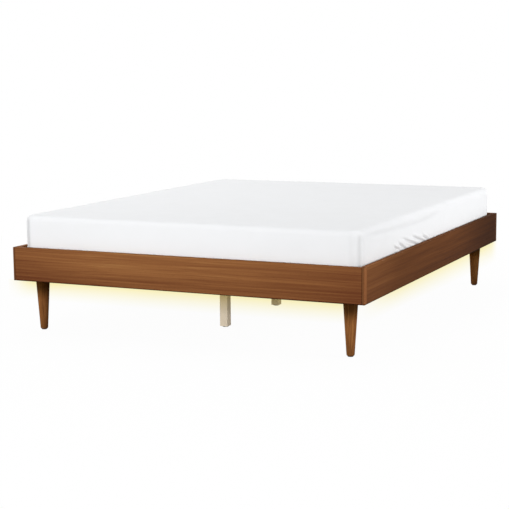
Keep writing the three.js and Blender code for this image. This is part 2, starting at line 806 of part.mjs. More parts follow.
// A closed skin over rings that are joined one to the next, with a point in the middle of either end
function skin(rings, firstPoint, lastPoint) {
  const positions = [];
  const index = [];
  const count = rings[0].length;
  for (const ring of rings) {
    ring.forEach((point) => positions.push(...point));
  }
  for (let r = 0; r < rings.length - 1; r += 1) {
    const low = r * count;
    const high = low + count;
    for (let i = 0; i < count; i += 1) {
      const next = (i + 1) % count;
      index.push(low + i, low + next, high + next, low + i, high + next, high + i);
    }
  }
  const first = rings.length * count;
  const top = first - count;
  positions.push(...firstPoint, ...lastPoint);
  for (let i = 0; i < count; i += 1) {
    const next = (i + 1) % count;
    index.push(first, next, i, first + 1, top + i, top + next);
  }
  const geometry = new THREE.BufferGeometry();
  geometry.setAttribute('position', new THREE.Float32BufferAttribute(positions, 3));
  geometry.setIndex(index);
  geometry.computeVertexNormals();
  return geometry;
}

// The whole plump form, set off outwards by a distance
function plumpSolid(offset) {
  const underside = [0, 0, -offset];
  const crown = [0, 0, mattressThickness + mattressCrown + offset];
  return skin(plumpRings(offset, plumpProfile()), underside, crown);
}

function mattressPiece() {
  return piece('mattress', plumpSolid(0), mattressTicking, 0, 0, mattressBottom);
}

// The sheet is a thin shell over the top and sides, tucked under as a hem round an open mouth
function sheetPiece() {
  const mouth = drawnOut(
    roundedRectangle(mattressWidth - 2 * sheetHem, mattressLength - 2 * sheetHem, mattressCornerRadius),
    mattressThickness, alongZ);
  const sheet = cut(plumpSolid(sheetGap + sheetThickness), plumpSolid(sheetGap), mouth);
  return piece('fitted_sheet', sheet, whiteCotton, 0, 0, mattressBottom);
}

const bed = new THREE.Group();
bed.add(
  endPanels(),
  sideRails(),
  cornerBlocks(),
  legs(),
  slatLedges(),
  slats(),
  centreBeam(),
  beamShoes(),
  posts(),
  ledStrip(),
  controller(),
  mattressPiece(),
  sheetPiece(),
);

export default bed;
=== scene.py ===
# %% [markdown]
# A platform bed with an LED strip under its boards. Four veneered boards make a low frame, turned and
# tapered legs carry its corners, three square posts carry its middle, and a mattress in a white fitted
# sheet lies on slats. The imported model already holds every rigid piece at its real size, so this lesson
# dresses those pieces in their finishes, sews the sheet, plumps the mattress and adds the small hardware.
# All lengths are in metres. The foot end faces -Y, and the floor is at Z = 0.

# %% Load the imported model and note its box
import math
import random

import bmesh
import bpy
from mathutils import Matrix, Vector, noise


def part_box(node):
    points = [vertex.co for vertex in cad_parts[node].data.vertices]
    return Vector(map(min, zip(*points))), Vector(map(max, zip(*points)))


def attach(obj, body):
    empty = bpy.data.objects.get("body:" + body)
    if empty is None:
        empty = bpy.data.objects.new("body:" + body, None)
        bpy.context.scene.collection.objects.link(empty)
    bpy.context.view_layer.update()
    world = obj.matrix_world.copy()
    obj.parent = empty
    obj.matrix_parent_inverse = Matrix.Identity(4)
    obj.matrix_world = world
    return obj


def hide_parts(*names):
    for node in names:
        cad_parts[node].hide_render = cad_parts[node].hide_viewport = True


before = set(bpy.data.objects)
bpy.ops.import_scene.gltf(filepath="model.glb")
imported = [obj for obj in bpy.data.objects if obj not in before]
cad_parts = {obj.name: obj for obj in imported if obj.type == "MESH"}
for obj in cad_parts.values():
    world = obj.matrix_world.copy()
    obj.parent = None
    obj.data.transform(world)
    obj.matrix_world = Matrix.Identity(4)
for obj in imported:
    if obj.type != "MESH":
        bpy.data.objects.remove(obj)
for starter in ("Cube", "Light", "Camera"):
    if starter in bpy.data.objects:
        bpy.data.objects.remove(bpy.data.objects[starter])
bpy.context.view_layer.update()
mm = 0.001

# %% [markdown]
# The camera stands low at the foot, to the right, and looks along the bed with a long lens. A long lens
# keeps the boards' edges nearly parallel, as furniture catalogues like it. The position and the three
# angles were found by matching the corners of the frame, and the focal length is given in pixels of the
# square picture, because that is how it was measured.

# %% Camera
image_side_px = 509
focal_length_px = 1310.5
sensor_width_mm = 36
camera_place = Vector((2.5802, -5.8495, 1.1816))
camera_yaw, camera_pitch, camera_roll = -0.43259, 0.14403, -0.00875


def new_object(name, data, *materials):
    """An object at the origin, unturned; a mesh also gets its finishes."""
    thing = bpy.data.objects.new(name, data)
    bpy.context.scene.collection.objects.link(thing)
    for material in materials:
        data.materials.append(material)
    return thing


camera_data = bpy.data.cameras.new("catalogue_camera")
camera_data.sensor_width = sensor_width_mm
camera_data.lens = sensor_width_mm * focal_length_px / image_side_px
camera = new_object("catalogue_camera", camera_data)
level = math.cos(camera_pitch)
ahead = Vector((math.sin(camera_yaw) * level, math.cos(camera_yaw) * level, -math.sin(camera_pitch)))
level_right = ahead.cross(Vector((0, 0, 1))).normalized()
roll = Matrix.Rotation(camera_roll, 3, -ahead)
turned = Matrix((roll @ level_right, roll @ level_right.cross(ahead), -ahead)).transposed()
camera.matrix_world = Matrix.Translation(camera_place) @ turned.to_4x4()
bpy.context.scene.camera = camera
print("lens, mm:", round(camera_data.lens, 2))

# %% [markdown]
# A material or a geometry tree is a list of nodes and links. One small helper adds a node with its
# settings, and fills its sockets in the order in which the node shows them, or by name from a dictionary.
# A node or a socket is linked, a list of them goes into one socket, and any other value is typed in. The
# kind is the node's type, where "ShaderNode" can be left out, and a word after it is its operation. A
# second helper turns a hex colour, as a painter's chart gives it, into the renderer's linear numbers.

# %% Helpers for nodes and colours
def connect(tree, node, sockets):
    """Links or types each value into the socket with that name, or that place among those shown."""
    shown = [socket for socket in node.inputs if socket.enabled]
    for key, value in sockets.items():
        socket = shown[key] if isinstance(key, int) else next(s for s in shown if s.name == key)
        for source in value if isinstance(value, list) else [value]:
            if isinstance(source, bpy.types.Node):
                source = next(s for s in source.outputs if s.enabled)
            if isinstance(source, bpy.types.NodeSocket):
                tree.links.new(source, socket)
            else:
                socket.default_value = source


def add(tree, kind, *values, **settings):
    kind, _, operation = kind.partition(" ")
    node = tree.nodes.new(kind if "Node" in kind else "ShaderNode" + kind)
    if operation:
        node.operation = operation
    for name, value in settings.items():
        setattr(node, name, value)
    for key, value in enumerate(values):
        connect(tree, node, value if isinstance(value, dict) else {key: value})
    return node


def linear(hex_colour):
    channels = [int(hex_colour[i:i + 2], 16) / 255 for i in (0, 2, 4)]
    return (*[c / 12.92 if c <= 0.04045 else ((c + 0.055) / 1.055) ** 2.4 for c in channels], 1)


def new_material(name, surface_kind="BsdfPrincipled"):
    material = bpy.data.materials.new(name)
    material.use_nodes = True
    tree = material.node_tree
    tree.nodes.clear()
    surface = add(tree, surface_kind)
    add(tree, "OutputMaterial", surface)
    return material, tree, surface


def set_stops(ramp, stops):
    """Gives a colour ramp its stops, each a place from 0 to 1 and a hex colour."""
    elements = ramp.color_ramp.elements
    elements[0].position, elements[1].position = stops[0][0], stops[-1][0]
    for position, _ in stops[1:-1]:
        elements.new(position)
    for element, (_, colour) in zip(elements, stops):
        element.color = linear(colour)


print("mid grey in linear numbers:", round(linear("808080")[0], 3))

# %% [markdown]
# Room. The backdrop is pure white with only a breath of shadow. The world is white for the camera and
# for mirror-like rays, and much dimmer for the light that it casts, because lamps add the rest. The
# floor shows the camera mostly its own even white, with a share of true lit floor, so that the shadow of
# the bed still falls on it. To the bed it is a mid grey, as if black cloths lay beside it: a white floor
# would fill in the shaded flanks of the legs, which the photographer kept dark.

# %% World and floor
backdrop_strength = 1.0
world_light = 0.30
floor_paint, floor_bounce = "f2f2f2", "a8a8a8"
shadow_zone = (1.28, 3.2, 0.03, 0.0)  # from and to this far from the middle, with these shares of lit floor
floor_half_side = 30
white = (1, 1, 1, 1)


def seen_rays(tree):
    """1 for the rays by which the camera sees a thing: straight, in a mirror or through glass."""
    rays = add(tree, "LightPath").outputs
    straight = add(tree, "Math MAXIMUM", rays["Is Camera Ray"], rays["Is Glossy Ray"])
    return add(tree, "Math MAXIMUM", straight, rays["Is Transmission Ray"])


bpy.context.scene.view_settings.view_transform = "Standard"
world = bpy.data.worlds.new("white_studio")
bpy.context.scene.world = world
world.use_nodes = True
tree = world.node_tree
tree.nodes.clear()
cast = add(tree, "Background", white, world_light)
shown = add(tree, "Background", white, backdrop_strength)
add(tree, "OutputWorld", add(tree, "MixShader", seen_rays(tree), cast, shown))

floor_material, tree, surface = new_material("painted_white_floor", "MixShader")
lit = add(tree, "BsdfDiffuse", linear(floor_paint))
even = add(tree, "Emission", white, backdrop_strength)
place = add(tree, "TexCoord").outputs["Object"]
distance = add(tree, "VectorMath LENGTH", place)
near_bed = add(tree, "MapRange", distance, *shadow_zone, interpolation_type="SMOOTHSTEP")
mostly_even = add(tree, "MixShader", near_bed, even, lit)
bounced = add(tree, "BsdfDiffuse", linear(floor_bounce))
connect(tree, surface, {0: seen_rays(tree), 1: bounced, 2: mostly_even})

floor_mesh = bpy.data.meshes.new("studio_floor")
floor_corners = ((-1, -1), (1, -1), (1, 1), (-1, 1))
floor_mesh.from_pydata([(x * floor_half_side, y * floor_half_side, 0) for x, y in floor_corners], [],
                       [(0, 1, 2, 3)])
new_object("studio_floor", floor_mesh, floor_material)
print("floor side, metres:", 2 * floor_half_side)

# %% [markdown]
# Large soft lamps add to the white room: one in front, a little to the left, so that the foot board is the
# brightest board and the legs round off to darker sides, one overhead, one low on the right for the side
# of the sheet, and a weak one behind. The overhead lamp stands to the left, so that the sheet's right rim,
# which faces half up and half to the right, isn't lit twice. Big lamps far away give soft light.

# %% Lamps
bed_middle = Vector((0, 0, 0.3))
softboxes = {  # place, side in metres, power in watts
    "front_softbox": ((-0.4, -6.5, 1.3), 2.4, 238),
    "overhead_softbox": ((-1.6, 0.3, 4.7), 4.0, 100),
    "right_softbox": ((5.5, 0.7, 1.5), 3.0, 211),
    "back_softbox": ((-4.5, 5.0, 2.6), 3.0, 120),
}
for name, (lamp_place, side, watts) in softboxes.items():
    lamp_data = bpy.data.lights.new(name, "AREA")
    lamp_data.shape = "SQUARE"
    lamp_data.size = side
    lamp_data.energy = watts
    lamp = new_object(name, lamp_data)
    lamp.location = lamp_place
    lamp.rotation_mode = "QUATERNION"
    lamp.rotation_quaternion = (bed_middle - Vector(lamp_place)).to_track_quat("-Z", "Y")
print("lamps:", list(softboxes))

# %% [markdown]
# Walnut-stained veneer. The boards are chipboard faced with thin sliced wood, stained a warm brown and
# sprayed with satin lacquer. Sliced wood shows long, nearly parallel streaks along the board: wide soft
# bands, fine golden lines, and short dark pores. Each is the same idea at its own scale, a noise that is
# stretched along the grain. A slow second noise bends them all a little, because no log is straight. The
# widths are real sizes in millimetres, but pores, 0.2 mm wide on the real thing, are drawn 0.9 mm wide,
# so that they show.

# %% Stained and lacquered wood
grain_layers = {
    "band": {"width_mm": 46, "slowness": 0.040, "weight": 0.33},
    "streak": {"width_mm": 7.5, "slowness": 0.010, "weight": 0.31},
    "line": {"width_mm": 3.6, "slowness": 0.006, "weight": 0.33},
}
tone_stops = (0.22, 0.50, 0.80)  # where the deep, the middle and the golden colour lie
pore_width_mm, pore_slowness = 0.9, 0.06
pore_dark = (0.60, 0.72, 1.0, 0.72)  # the noise from one to the other, and the shade at each
bend_scale, grain_bend_mm = 2.2, 10
lacquer_roughness, roughness_spread = 0.56, 0.16
lacquer_specular = 0.004
grain_relief, grain_relief_mm = 0.25, 0.25


def noise_along(tree, place, axis, width_mm, slowness):
    """A noise that changes fast across the grain and slowly along it."""
    across = 1 / (width_mm * mm)
    scale = tuple(across * (slowness if a == axis else 1) for a in "XYZ")
    stretched = add(tree, "VectorMath MULTIPLY", place, scale)
    return add(tree, "TexNoise", stretched, 1.0, 2.0, 0.55)


def stained_wood(name, axis, colours, zones=None, contrast=1.0, roughness=lacquer_roughness):
    material, tree, surface = new_material(name)
    place = add(tree, "TexCoord").outputs["Object"]
    slow = add(tree, "TexNoise", place, bend_scale, 1.0).outputs["Color"]
    centred = add(tree, "VectorMath SUBTRACT", slow, (0.5, 0.5, 0.5))
    slight = add(tree, "VectorMath SCALE", centred, grain_bend_mm * mm)
    bent = add(tree, "VectorMath ADD", place, slight)
    tone = 0.5
    for layer in grain_layers.values():
        grain = noise_along(tree, bent, axis, layer["width_mm"], layer["slowness"])
        off_centre = add(tree, "Math SUBTRACT", grain, 0.5)
        tone = add(tree, "Math MULTIPLY_ADD", off_centre, layer["weight"] * contrast, tone)
    shift, shade = zones(tree, place) if zones else (0.0, 1.0)
    tone = add(tree, "Math ADD", tone, shift)
    ramp = add(tree, "ValToRGB", tone)
    set_stops(ramp, list(zip(tone_stops, colours)))
    pores = noise_along(tree, bent, axis, pore_width_mm, pore_slowness)
    dashes = add(tree, "MapRange", pores, *pore_dark)
    dashed = add(tree, "VectorMath SCALE", ramp, dashes)
    coloured = add(tree, "VectorMath SCALE", dashed, shade)
    rough = add(tree, "Math MULTIPLY_ADD", tone, roughness_spread, roughness - roughness_spread / 2)
    relief = add(tree, "Math MULTIPLY_ADD", dashes, 0.6, tone)
    bump = add(tree, "Bump", grain_relief, grain_relief_mm * mm, {"Height": relief})
    connect(tree, surface, {"Base Color": coloured, "Roughness": rough, "Normal": bump,
                            "Specular IOR Level": lacquer_specular})
    return material


print("grain layers:", list(grain_layers))

# %% [markdown]
# Where a board is lighter or darker. Each board is paler and more golden toward its upper edge and redder
# toward its lower edge, and the ends of an end board run darker. Painted shade darkens the eased lower edge,
# and the joint to the solid lipping draws a thin dark line. On a side board, painted light brightens the
# foot end, painted shade darkens and reddens it toward the head, and a painted highlight lights the narrow
# band along its upper edge. The end boards' grain runs across the bed and the side boards' along it, so
# each kind has a function of its own. Each zone is a ramp: from one place to another, with the value at
# each. All of them read the piece's own coordinates, so the marks stay on the wood from every side.

# %% Zones of tone on the boards
board_low, board_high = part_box("foot_panel")
lip_low, lip_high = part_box("corner_lip_foot_right")
rail_low, rail_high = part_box("side_rail_right")
joint_x = (board_high.x + lip_low.x) / 2
# painted shade along the lower edge of the boards and the lipping
lower_edge_painted_shade = (board_low.z + 2.7 * mm, board_low.z + 4.5 * mm, 0.25, 1.0)
joint_line = (0.0, 2.2 * mm, 0.30, 1.0)
end_board_rise = (board_low.z, board_high.z, -0.08, 0.05)
end_board_ends = (0.30, 0.80, -0.02, -0.16)
side_board_rise = (board_low.z, board_high.z, -0.08, 0.06)
# painted shade: a side board darkens and reddens toward the head end
side_board_painted_shade_along = (rail_low.y, rail_high.y, 0.05, -0.16)
side_board_painted_shade_to_head = (rail_high.y - 0.9, rail_high.y, 1.0, 0.52)
# painted light: a side board is brighter near the foot end
side_board_painted_light_at_foot = (rail_low.y, rail_low.y + 0.5, 1.30, 1.0)
# painted highlight on the narrow band along a side board's upper edge
side_board_painted_top_highlight = (board_high.z - 0.7 * mm, board_high.z - 0.21 * mm, 1.0, 1.4)


def edge_shade(tree, z):
    """1 on the open face, darker on the eased lower edge: painted shade."""
    return add(tree, "MapRange", z, *lower_edge_painted_shade)


def joint_shade(tree, x):
    """1 on the open face, darker beside the upright joint of board and lipping."""
    across = add(tree, "Math ABSOLUTE", x)
    apart = add(tree, "Math SUBTRACT", across, joint_x)
    distance = add(tree, "Math ABSOLUTE", apart)
    return add(tree, "MapRange", distance, *joint_line)


def product(tree, factors):
    """All the shades of a piece multiplied together."""
    result = factors[0]
    for factor in factors[1:]:
        result = add(tree, "Math MULTIPLY", result, factor)
    return result


def end_board_zones(tree, place):
    x, _, z = add(tree, "SeparateXYZ", place).outputs
    rise = add(tree, "MapRange", z, *end_board_rise)
    across = add(tree, "Math ABSOLUTE", x)
    ends = add(tree, "MapRange", across, *end_board_ends)
    shift = add(tree, "Math ADD", rise, ends)
    return shift, product(tree, [edge_shade(tree, z), joint_shade(tree, x)])


def side_board_zones(tree, place):
    _, y, z = add(tree, "SeparateXYZ", place).outputs
    rise = add(tree, "MapRange", z, *side_board_rise)
    along = add(tree, "MapRange", y, *side_board_painted_shade_along)
    shift = add(tree, "Math ADD", rise, along)
    # painted shade toward the head, painted light at the foot, and a painted highlight on the upper band
    head = add(tree, "MapRange", y, *side_board_painted_shade_to_head, interpolation_type="SMOOTHSTEP")
    foot = add(tree, "MapRange", y, *side_board_painted_light_at_foot, interpolation_type="SMOOTHSTEP")
    band = add(tree, "MapRange", z, *side_board_painted_top_highlight)
    return shift, product(tree, [head, foot, band, edge_shade(tree, z)])


print("boards stand at", round(board_low.z, 3), "to", round(board_high.z, 3), "m")

# %% [markdown]
# The lipping and the legs are solid wood. Painted light makes the lipping's rounded corner and its outer
# side lighter than its front, and painted shade darkens the lipping toward the head end. A leg is darkest
# just under the board, where painted shade lies, and a little darker at its tip. Round its own axis it gets
# painted light and shade by the way it faces: paler toward the outside at the foot end and toward the
# inside at the head end.

# %% Zones of tone on the lipping and the legs
lip_rise = (board_low.z, board_high.z, -0.05, 0.05)
# painted light on the lipping's faces that turn to the left or right
lip_painted_flank_light = (0.25, 0.7, 1.0, 1.6)
# painted shade: the lipping darkens toward the head end
lip_painted_shade_to_head = (0.0, rail_high.y, 1.0, 0.35)
# painted shade on each leg just under the board
leg_painted_shade_under_board = (board_low.z - 108 * mm, board_low.z - 30 * mm, 1.0, 0.20)
leg_tip = (0.0, 70 * mm, 0.70, 1.0)
# painted light and shade on the legs' inner and outer flanks, from foot to head
leg_inner_flank_painted_light = (-0.5, 0.5, 0.83, 1.6)
leg_outer_flank_painted_light = (-0.5, 0.5, 1.01, 0.45)
leg_side_turn = (-0.7, 0.6)
leg_toward_head = (rail_low.y, rail_high.y, 0.04, -0.03)
leg_toward_right = (board_low.x, board_high.x, -0.06, 0.01)


def sideways_normal(tree):
    """How far the surface faces to the right, from -1 to 1, in the piece's own coordinates."""
    facing = add(tree, "TexCoord").outputs["Normal"]
    return add(tree, "SeparateXYZ", facing).outputs["X"]


def lipping_zones(tree, place):
    x, y, z = add(tree, "SeparateXYZ", place).outputs
    # painted light on the sideways faces, painted shade toward the head end
    turned_out = add(tree, "Math ABSOLUTE", sideways_normal(tree))
    painted_flank_light = add(tree, "MapRange", turned_out, *lip_painted_flank_light)
    toward_head = add(tree, "MapRange", y, *lip_painted_shade_to_head)
    shades = [edge_shade(tree, z), joint_shade(tree, x), painted_flank_light, toward_head]
    return add(tree, "MapRange", z, *lip_rise), product(tree, shades)


def leg_zones(tree, place):
    x, y, z = add(tree, "SeparateXYZ", place).outputs
    # painted shade under the board
    shade_under_board = add(tree, "MapRange", z, *leg_painted_shade_under_board, interpolation_type="SMOOTHSTEP")
    tip = add(tree, "MapRange", z, *leg_tip)
    # painted light and shade on the flanks, by the way the surface faces
    which_side = add(tree, "Math SIGN", x)
    outward = product(tree, [sideways_normal(tree), which_side])
    inner = add(tree, "MapRange", y, *leg_inner_flank_painted_light)
    outer = add(tree, "MapRange", y, *leg_outer_flank_painted_light)
    painted_flank_light = add(tree, "MapRange", outward, *leg_side_turn, inner, outer)
    toward_head = add(tree, "MapRange", y, *leg_toward_head)
    toward_right = add(tree, "MapRange", x, *leg_toward_right)
    shift = add(tree, "Math ADD", toward_head, toward_right)
    return shift, product(tree, [shade_under_board, tip, painted_flank_light])


finishes = {
    "end_boards": stained_wood("walnut_veneer_across", "X", ("673a22", "8d5c36", "b18350"), end_board_zones),
    # the side boards' colours are the same veneer darkened by painted shade
    "side_boards": stained_wood("walnut_veneer_along", "Y", ("46291a", "603b23", "7c5231"), side_board_zones),
    "lipping": stained_wood("solid_walnut_lipping", "Z", ("58351f", "6e4529", "885d3b"), lipping_zones),
    "legs": stained_wood("turned_walnut_legs", "Z", ("553118", "8c5a31", "bd874c"), leg_zones, 1.3, 0.5),
}
print("stained woods:", list(finishes))

# %% [markdown]
# Plain timber inside the bed. Slats, ledges, beam and blocks are planed pine with no finish: pale yellow,
# with darker growth lines along each stick. The three posts are beech, greyer and more even. The same
# stretched noise does both, with other colours, less contrast and a drier, rougher surface.

# %% Plain timber
pine, block_pine = ("b99462", "dcc295", "ead8b4"), ("ad8654", "d3b684", "e4cfa6")
finishes["pine_across"] = stained_wood("planed_pine_across", "X", pine, roughness=0.72)
finishes["pine_along"] = stained_wood("planed_pine_along", "Y", pine, roughness=0.72)
finishes["pine_upright"] = stained_wood("planed_pine_block", "Z", block_pine, roughness=0.72)
finishes["beech"] = stained_wood("planed_beech_posts", "Z", ("d8c6ac", "e8dac3", "f0e5d3"), None, 0.6, 0.6)
print("woods in all:", len(finishes))

# %% [markdown]
# Metal and plastic. The bolts, shoes and screws are steel plated with bright zinc: a metal whose colour
# varies faintly in patches and whose grain is fine. The controller case is moulded ABS with a spark-eroded
# skin, which is a very fine even pebble that keeps it matt. Glides are smooth polyethylene. Each material
# therefore is one base colour, a fine noise for the skin, and the roughness that goes with the process.

# %% Metal and moulded plastic
patch_scale = 45.0
skin_spread = 0.14


def even_skin(name, colour, darker, roughness, grit_mm, metallic=0.0, relief_mm=0.02):
    material, tree, surface = new_material(name)
    place = add(tree, "TexCoord").outputs["Object"]
    patches = add(tree, "TexNoise", place, patch_scale, 2.0)
    grit = add(tree, "TexNoise", place, 1 / (grit_mm * mm), 1.0)
    mixed = add(tree, "Mix", patches, linear(darker), linear(colour), data_type="RGBA")
    rough = add(tree, "Math MULTIPLY_ADD", patches, skin_spread, roughness - skin_spread / 2)
    bump = add(tree, "Bump", 0.4, relief_mm * mm, {"Height": grit})
    connect(tree, surface, {"Base Color": mixed, "Roughness": rough, "Normal": bump, "Metallic": metallic})
    return material


finishes["zinc"] = even_skin("bright_zinc_plated_steel", "c9ccd0", "a4a8ac", 0.32, 0.5, metallic=1.0)
finishes["black_case"] = even_skin("moulded_black_abs", "2b2827", "201d1c", 0.55, 0.35, relief_mm=0.04)
finishes["grey_case"] = even_skin("moulded_grey_abs", "74767a", "646669", 0.52, 0.35, relief_mm=0.04)
finishes["glides"] = even_skin("black_polyethylene_glide", "2a2827", "1c1a1a", 0.42, 0.8)
print("metal and plastic done")

# %% [markdown]
# Circuit board. Glass-fibre board under green solder mask: glossy green with slightly raised tracks. A
# brick pattern on a small scale gives straight tracks without drawing a real circuit.

# %% Circuit board
track_pitch_mm = 2.5
finishes["circuit"], tree, surface = new_material("green_solder_mask")
place = add(tree, "TexCoord").outputs["Object"]
upright = add(tree, "Mapping", place, {"Rotation": (math.pi / 2, 0, 0)})
tracks = add(tree, "TexBrick", upright, linear("1c5c38"), linear("226841"), linear("17492d"),
             1 / (track_pitch_mm * 4 * mm), 0.06)
bump = add(tree, "Bump", 0.5, 0.05 * mm, {"Height": tracks.outputs["Fac"]})
connect(tree, surface, {"Base Color": tracks, "Normal": bump, "Roughness": 0.3})
print("track pitch, mm:", track_pitch_mm)

# %% [markdown]
# The LED strip. Warm white chips sit every 16.7 mm, sixty to a metre, inside a milky silicone sleeve,
# which spreads each chip into a soft bright spot. So the sleeve's own surface glows, a little more over
# each chip. The pattern runs along X on the strips of the end boards and along Y on those of the side
# boards, and the piece's own coordinates tell which is which.

# %% Glowing silicone sleeve
chip_pitch = 16.7 * mm
corner_zone = 20 * mm
sleeve_glow, chip_glow = 1.1, 0.33
strip_low, strip_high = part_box("led_strip")


def wave(tree, run, pitch, shape="SINE"):
    """A wave that repeats at every pitch along a run."""
    return add(tree, "Math " + shape, add(tree, "Math MULTIPLY", run, 2 * math.pi / pitch))


finishes["led"], tree, surface = new_material("milky_silicone_sleeve")
place = add(tree, "TexCoord").outputs["Object"]
x, y, _ = add(tree, "SeparateXYZ", place).outputs
across = add(tree, "Math ABSOLUTE", x)
on_side_board = add(tree, "Math GREATER_THAN", across, strip_high.x - corner_zone)
chips = wave(tree, add(tree, "Mix", on_side_board, x, y), chip_pitch, "COSINE")
glow = add(tree, "Math MULTIPLY_ADD", chips, chip_glow, sleeve_glow)
connect(tree, surface, {"Emission Strength": glow, "Emission Color": linear("ffdf9f"),
                        "Base Color": linear("fbf3df"), "Roughness": 0.4})
strip_run = (strip_high.x - strip_low.x) + 2 * (strip_high.y - strip_low.y)
print("chips in the strip:", round(strip_run / chip_pitch))

# %% [markdown]
# The glow under the boards. In a picture, a bright strip just behind an edge spills a warm haze round
# that edge: the lens and the air spread it. The renderer draws neither, so the haze is made as a fine
# curtain that hangs from the lower edge of each board, a tint of the light that passes through it: warm
# at the top and clear at its lower end. It belongs to the room's light and not to the bed, and it casts
# no shadow. Its strength is an attribute of its own points: full along each
# board, and fading where the strip stops short of a corner.

# %% Haze below the boards
haze_depth = 88 * mm
haze_rows, haze_columns = 12, 80
haze_tints = (
    (0.0, "faf1ba"), (0.13, "fbf3c4"), (0.30, "fcf6d6"), (0.52, "fdfae8"), (0.76, "fefdf6"), (1.0, "ffffff"))
end_fades = (-0.03, 0.15, 0.02, 0.12)  # where the haze starts and is full, from its first and its last end
side_fades = (-0.10, 0.50, 0.0, 0.16)
haze_past_left, haze_past_head = 0.045, 0.15
side_growth = 1.5  # how much deeper a side's curtain is at the head than at the foot

haze_material, tree, surface = new_material("warm_haze", "BsdfTransparent")
fall = add(tree, "Attribute", attribute_name="haze_fall").outputs["Fac"]
strength = add(tree, "Attribute", attribute_name="haze_strength").outputs["Fac"]
tints = add(tree, "ValToRGB", fall)
set_stops(tints, haze_tints)
connect(tree, surface, {"Color": add(tree, "Mix", strength, white, tints, data_type="RGBA")})


def smooth(value, low, high):
    """0 below low, 1 above high, and a soft rise between them."""
    t = min(1.0, max(0.0, (value - low) / (high - low)))
    return t * t * (3 - 2 * t)


def haze_curtain(name, start, end, fades, growth):
    """A curtain from start to end along a board's lower edge."""
    length = (end - start).length
    points, falls, strengths = [], [], []
    for row in range(haze_rows + 1):
        for column in range(haze_columns + 1):
            share = column / haze_columns
            depth = haze_depth * (1 + (growth - 1) * share)
            points.append(start.lerp(end, share) - Vector((0, 0, depth * row / haze_rows)))
            falls.append(row / haze_rows)
            strengths.append(smooth(share * length, *fades[:2]) * smooth((1 - share) * length, *fades[2:]))
    wide = haze_columns + 1
    mesh = bpy.data.meshes.new(name)
    mesh.from_pydata(points, [], [(r * wide + c, r * wide + c + 1, (r + 1) * wide + c + 1, (r + 1) * wide + c)
                                  for r in range(haze_rows) for c in range(haze_columns)])
    for label, values in (("haze_fall", falls), ("haze_strength", strengths)):
        mesh.attributes.new(label, "FLOAT", "POINT").data.foreach_set("value", values)
    curtain = new_object(name, mesh, haze_material)
    curtain.visible_shadow = curtain.visible_diffuse = curtain.visible_glossy = False


edge_z = board_low.z
board_thickness = board_high.y - board_low.y
left_x, right_x = -lip_high.x - haze_past_left, lip_high.x
for name, y in (("haze_foot", board_high.y), ("haze_head", -board_high.y)):
    haze_curtain(name, Vector((left_x, y, edge_z)), Vector((right_x, y, edge_z)), end_fades, 1.0)
foot_y = board_high.y - board_thickness / 2
side_x = rail_high.x - board_thickness
for name, x in (("haze_left", -side_x), ("haze_right", side_x)):
    haze_curtain(name, Vector((x, foot_y, edge_z)), Vector((x, haze_past_head - foot_y, edge_z)),
                 side_fades, side_growth)
print("haze hangs from", round(edge_z, 3), "to", round(edge_z - haze_depth, 3), "m")

# %% [markdown]
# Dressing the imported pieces. Their shapes are right, but they arrive as loose triangles with hard
# shading. A Weld modifier joins the triangles, and a very small Bevel with hardened normals rounds every
# sharp edge and shades flat faces flat and round faces round, as a real eased or moulded edge does. The
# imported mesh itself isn't touched. Then each piece gets the finish of its own wood, metal or plastic.

# %% Dress the rigid pieces
wood_ease_mm, metal_ease_mm, thin_ease_mm = 0.35, 0.2, 0.1
weld_gap_mm = 0.01
sharp_angle = math.radians(32)


def dress(names, finish, ease_mm=wood_ease_mm):
    for name in names:
        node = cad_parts[name]
        node.data.materials.clear()
        node.data.materials.append(finishes[finish])
        custom = node.data.attributes.get("custom_normal")
        if custom:
            node.data.attributes.remove(custom)
        node.data.polygons.foreach_set("use_smooth", [True] * len(node.data.polygons))
        weld = node.modifiers.new("joined_triangles", "WELD")
        weld.merge_threshold = weld_gap_mm * mm
        ease = node.modifiers.new("eased_edges", "BEVEL")
        ease.width = ease_mm * mm
        ease.segments = 2
        ease.limit_method = "ANGLE"
        ease.angle_limit = sharp_angle
        ease.harden_normals = True
        ease.use_clamp_overlap = True


def at_corners(stem):
    return [f"{stem}_{corner}" for corner in ("foot_left", "foot_right", "head_left", "head_right")]


slats = sorted(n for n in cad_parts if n.startswith("slat_") and n[5:].isdigit())
post_glides = [f"post_glide_{i}" for i in (1, 2, 3)]
dress(["foot_panel", "head_panel"], "end_boards")
dress(["side_rail_left", "side_rail_right"], "side_boards")
dress(at_corners("corner_lip"), "lipping")
dress(at_corners("leg"), "legs")
dress(at_corners("corner_block"), "pine_upright")
dress(slats, "pine_across")
dress(["slat_ledge_left", "slat_ledge_right", "centre_beam"], "pine_along")
dress(["support_post_1", "support_post_2", "support_post_3"], "beech")
dress(at_corners("leg_glide") + post_glides, "glides", metal_ease_mm)
dress(at_corners("leg_bolt") + ["beam_hanger_foot", "beam_hanger_head"], "zinc", metal_ease_mm)
dress(["led_strip"], "led", thin_ease_mm)
dress(["led_controller_cover", "power_inlet"], "black_case", metal_ease_mm)
dress(["led_controller_base", "led_button"], "grey_case", metal_ease_mm)
dress(["led_controller_board"], "circuit", thin_ease_mm)
print("left for soft pieces:", [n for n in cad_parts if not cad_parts[n].modifiers])

# %% [markdown]
# The fitted sheet. A real one is a single rectangle of cotton with a square cut out of each corner. The
# two edges of each cut are sewn together into a short upright seam, and elastic in the hem pulls the mouth
# in under the mattress. The mesh is laid out the same way: a grid for the top, and a grid for each side
# that hangs from it, passes round the lower edge and ends in the hem. A cloth simulation of the whole
# sheet would take minutes and would place its creases at random, so the folds are modelled one by one.

